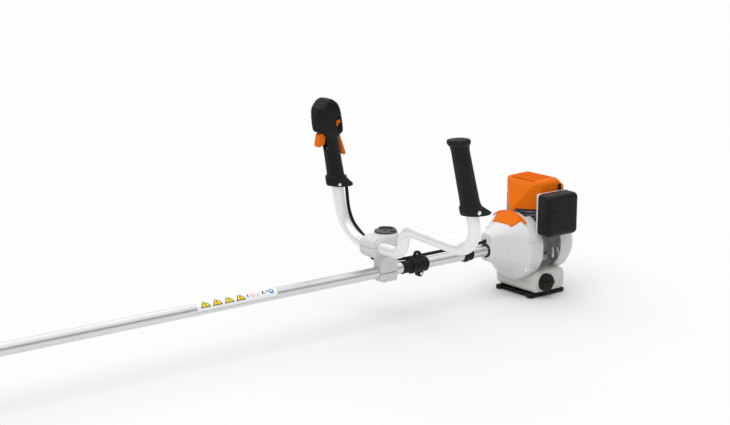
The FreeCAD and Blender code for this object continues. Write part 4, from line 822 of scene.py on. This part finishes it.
def fitted_screw(name, base, along, radius=3.6):
    """A cylinder-head screw with a hexagon socket, standing on a base point."""
    across = along.orthogonal().normalized()
    place = local_frame(base, along, across)
    head = lathe([(radius, -0.5), (radius, 2.4), (radius - 0.5, 2.9), (0.02, 2.9)], place, 32)
    socket = lathe([(radius * 0.55, 1.4), (radius * 0.55, 4)], place, 6)
    piece(name, head, "drive_unit", SCREW_STEEL, cut=[socket])


def screw_lugs(name, x_low, x_high, circle, radius, angles, outward):
    """Lugs around the engine's axis, each with a screw on the end that faces `outward`."""
    for number, degrees in enumerate(angles):
        ends = engine_round(x_low, circle, degrees), engine_round(x_high, circle, degrees)
        piece(f"{name}_lug_{number}", rod(radius, *ends), "drive_unit", CASING_GREY, bevel=0.8)
        fitted_screw(f"{name}_screw_{number}", max(ends, key=outward.dot), outward)


def ribs(name, outlines, y_low, y_high, place, material, bevel):
    """A numbered row of ribs, all extended across the same width."""
    for number, outline in enumerate(outlines):
        piece(f"{name}_{number}", prism(outline, y_low, y_high, place), "drive_unit", material,
              bevel=bevel)


def casing_ring(x, half_width, low, high, corner):
    """A section across the machine: a rectangle with round corners, in even steps of angle."""
    centres = [(half_width - corner, high - corner), (corner - half_width, high - corner),
               (corner - half_width, low + corner), (half_width - corner, low + corner)]
    return [at(x, y + corner * math.cos(a), z + corner * math.sin(a))
            for quarter, (y, z) in enumerate(centres)
            for a in (math.pi / 2 * (quarter + k / 16) for k in range(17))]


# Sections of the clutch casing: place, half width, low and high edge, corner radius.  The last is
# the round rim of the fan case.
NOSE = [(296, 18, -24, 39, 12), (297.5, 19.4, -25.4, 40.4, 13), (308, 24, -29.5, 43.5, 15),
        (320, 30, -34.5, 47, 18), (334, 38.5, -41.5, 51.5, 23), (346, 47, -49, 57, 30),
        (356, 58, -60, 66, 44), (366, 75.4, -76, 77.6, 72), (372, 81, -81, 81, 81)]


def casing_shell(grow, first, last):
    """The clutch casing's shape between two of its sections, grown outwards."""
    return skin([casing_ring(x, half + grow, low - grow, high + grow, corner + grow)
                 for x, half, low, high, corner in NOSE[first:last]])


CABLE_HOLE_RADIUS = 4.4
cable_hole_front = (288, 4.4, 18.6)
piece("nose_casing", casing_shell(0, 0, 9), "drive_unit", CASING_GREY, ["clutch_housing"],
      cut=[casing_shell(-3, 2, 9), block((371.9, -90, -90), (380, 90, 90)),
           rod(SEAT_RADIUS, (280, 0, 0), (330, 0, 0)),
           rod(CABLE_HOLE_RADIUS, cable_hole_front, (316, 0.6, 27))], voxel=1.0, smooth=4, keep=0.4)
BOSS = [(SEAT_RADIUS, 300), (18, 300), (18, 344), (SEAT_RADIUS, 344)]
piece("nose_boss", lathe(BOSS, tube_place), "drive_unit", CASING_GREY,
      cut=[rod(TUBE_RADIUS, (290, 0, 0), (350, 0, 0)),
           rod(CABLE_HOLE_RADIUS, cable_hole_front, (330, -1.3, 31.2))], bevel=0.4)

# Outlines seen from above, (back, right), and from the front, (right, up).
plan_place = local_frame(Vector((0, 0, 0)), Y, X)
front_place = local_frame(Vector((0, 0, 0)), Z, Y)

# The hood's front edge is a narrow lip that follows the casing's shape.
HOOD_FRONT = 365.9
lip_sides = [prism([(300, 0), (345, 31 * side), (366, 42 * side), (390, 42 * side), (390, 140 * side),
                    (300, 140 * side)], -200, 200, plan_place) for side in (-1, 1)]
piece("cover_lip", casing_shell(3.4, 5, 8), "drive_unit", ORANGE,
      cut=[casing_shell(0.25, 4, 9), block((300, -120, -120), (420, 120, 22)), *lip_sides],
      bevel=0.5)
ahead_of_hood = raw_object("tool", block((300, -120, 0), (HOOD_FRONT, 120, 200)))
hood = scene.objects["engine_top_cover_skin"]
boolean = hood.modifiers.new("boolean", "BOOLEAN")
boolean.operation, boolean.solver, boolean.object = "DIFFERENCE", "EXACT", ahead_of_hood
bake(hood, 30)
bpy.data.objects.remove(ahead_of_hood)

screw_lugs("nose", 366, 384, 78.6, 5.6, (20, 160, 215, -35), -X)
screw_lugs("starter", 472, 499, 69, 5.4, (35, 145, 222, -42), X)
ribs("cover_louvre", [[(x - 2.2, 155), (x + 2.6, 155), (x + 2.2, 159.6), (x - 0.4, 159.9)]
                      for x in range(411, 462, 10)], -36, 36, at, ORANGE, 0.5)
MUFFLER_FRONT = [(47, 40), (73, 40), (78, 45), (78, 107), (73, 112), (47, 112)]
piece("muffler_can", prism(MUFFLER_FRONT, -465.5, -432, front_place), "drive_unit", MUFFLER_STEEL,
      ["muffler"], add=[rod(6.6, (450, 70, 56), (450, 86, 56))],
      cut=[rod(4.8, (450, 75, 56), (450, 87, 56))], bevel=2)
ribs("muffler_louvre", [[(77.4, z), (80, z + 1.2), (80, z + 3.4), (77.4, z + 5)]
                        for z in range(68, 99, 10)], -461, -437, front_place, MUFFLER_STEEL, 0.5)
ribs("filter_rib", [[(-114.6, z), (-116.2, z + 0.8), (-116.2, z + 3.2), (-114.6, z + 4)]
                    for z in range(52, 109, 14)], -466, -399, front_place, BLACK, 0.4)
tank_corners = [(400, -70.2), (490.2, -70.2), (490.2, 70.2), (389.8, 70.2), (389.8, -70.2), (400, -70.2)]
tank_bead = rounded_path([(x, y, -83) for x, y in tank_corners], (14, 14, 14, 14), 3)
piece("tank_seam", sweep(tank_bead, 1.1, 12), "drive_unit", TANK)

# --- floor, light and camera ----------------------------------------------------------------
floor_material, floor_shader = new_material("studio_floor", (0.785, 0.785, 0.785), 0.9)
floor_shader.inputs["Specular IOR Level"].default_value = 0.1
bpy.ops.mesh.primitive_plane_add(size=60)
floor = bpy.context.object
floor.name = "studio_floor"
floor.data.materials.append(floor_material)

# The sky is a studio tent, dim at the horizon and brighter overhead.
world = bpy.data.worlds.new("studio")
world.use_nodes = True
sky_nodes, sky_links = world.node_tree.nodes, world.node_tree.links
sky_place = sky_nodes.new("ShaderNodeTexCoord")
sky_parts = sky_nodes.new("ShaderNodeSeparateXYZ")
sky_links.new(sky_place.outputs["Generated"], sky_parts.inputs["Vector"])
sky_ramp = sky_nodes.new("ShaderNodeValToRGB")
sky_links.new(sky_parts.outputs["Z"], sky_ramp.inputs["Fac"])
sky_ramp.color_ramp.elements[0].position = 0.0
sky_ramp.color_ramp.elements[0].color = (0.30, 0.30, 0.31, 1)
sky_ramp.color_ramp.elements[1].position = 1.0
sky_ramp.color_ramp.elements[1].color = (1.25, 1.25, 1.25, 1)
for position, level in ((0.12, 0.34), (0.45, 0.48), (0.62, 1.0)):
    element = sky_ramp.color_ramp.elements.new(position)
    element.color = (level, level, level, 1)
sky_links.new(sky_ramp.outputs["Color"], sky_nodes["Background"].inputs["Color"])
sky_nodes["Background"].inputs["Strength"].default_value = 1.0
scene.world = world
scene.view_settings.view_transform = "Standard"


def soft_sun(name, direction, angle, strength):
    """Even light from one side, with shadows as soft as a large panel's."""
    data = bpy.data.lights.new(name, "SUN")
    data.energy = strength
    data.angle = math.radians(angle)
    light = bpy.data.objects.new(name, data)
    scene.collection.objects.link(light)
    light.location = ORIGIN - Vector(direction) * 3
    light.rotation_mode = "QUATERNION"
    light.rotation_quaternion = Vector(direction).to_track_quat("-Z", "Y")


soft_sun("key_light", (0.62, 0.30, -1.0), 50, 1.0)
soft_sun("rim_light", (-0.3, -0.9, -0.75), 60, 0.4)

CAMERA_YAW, CAMERA_PITCH = math.radians(-37.690), math.radians(12.974)
camera_data = bpy.data.cameras.new("camera")
camera_data.sensor_width = 36
camera_data.lens = 74.05
camera_data.clip_end = 90
camera = bpy.data.objects.new("camera", camera_data)
scene.collection.objects.link(camera)
camera.location = at(-1982.4, -2492.3, 865.2)
camera_back = Vector((math.sin(CAMERA_YAW) * math.cos(CAMERA_PITCH),
                      -math.cos(CAMERA_YAW) * math.cos(CAMERA_PITCH), math.sin(CAMERA_PITCH)))
camera.rotation_mode = "QUATERNION"
camera.rotation_quaternion = (-camera_back).to_track_quat("-Z", "Y")
scene.camera = camera
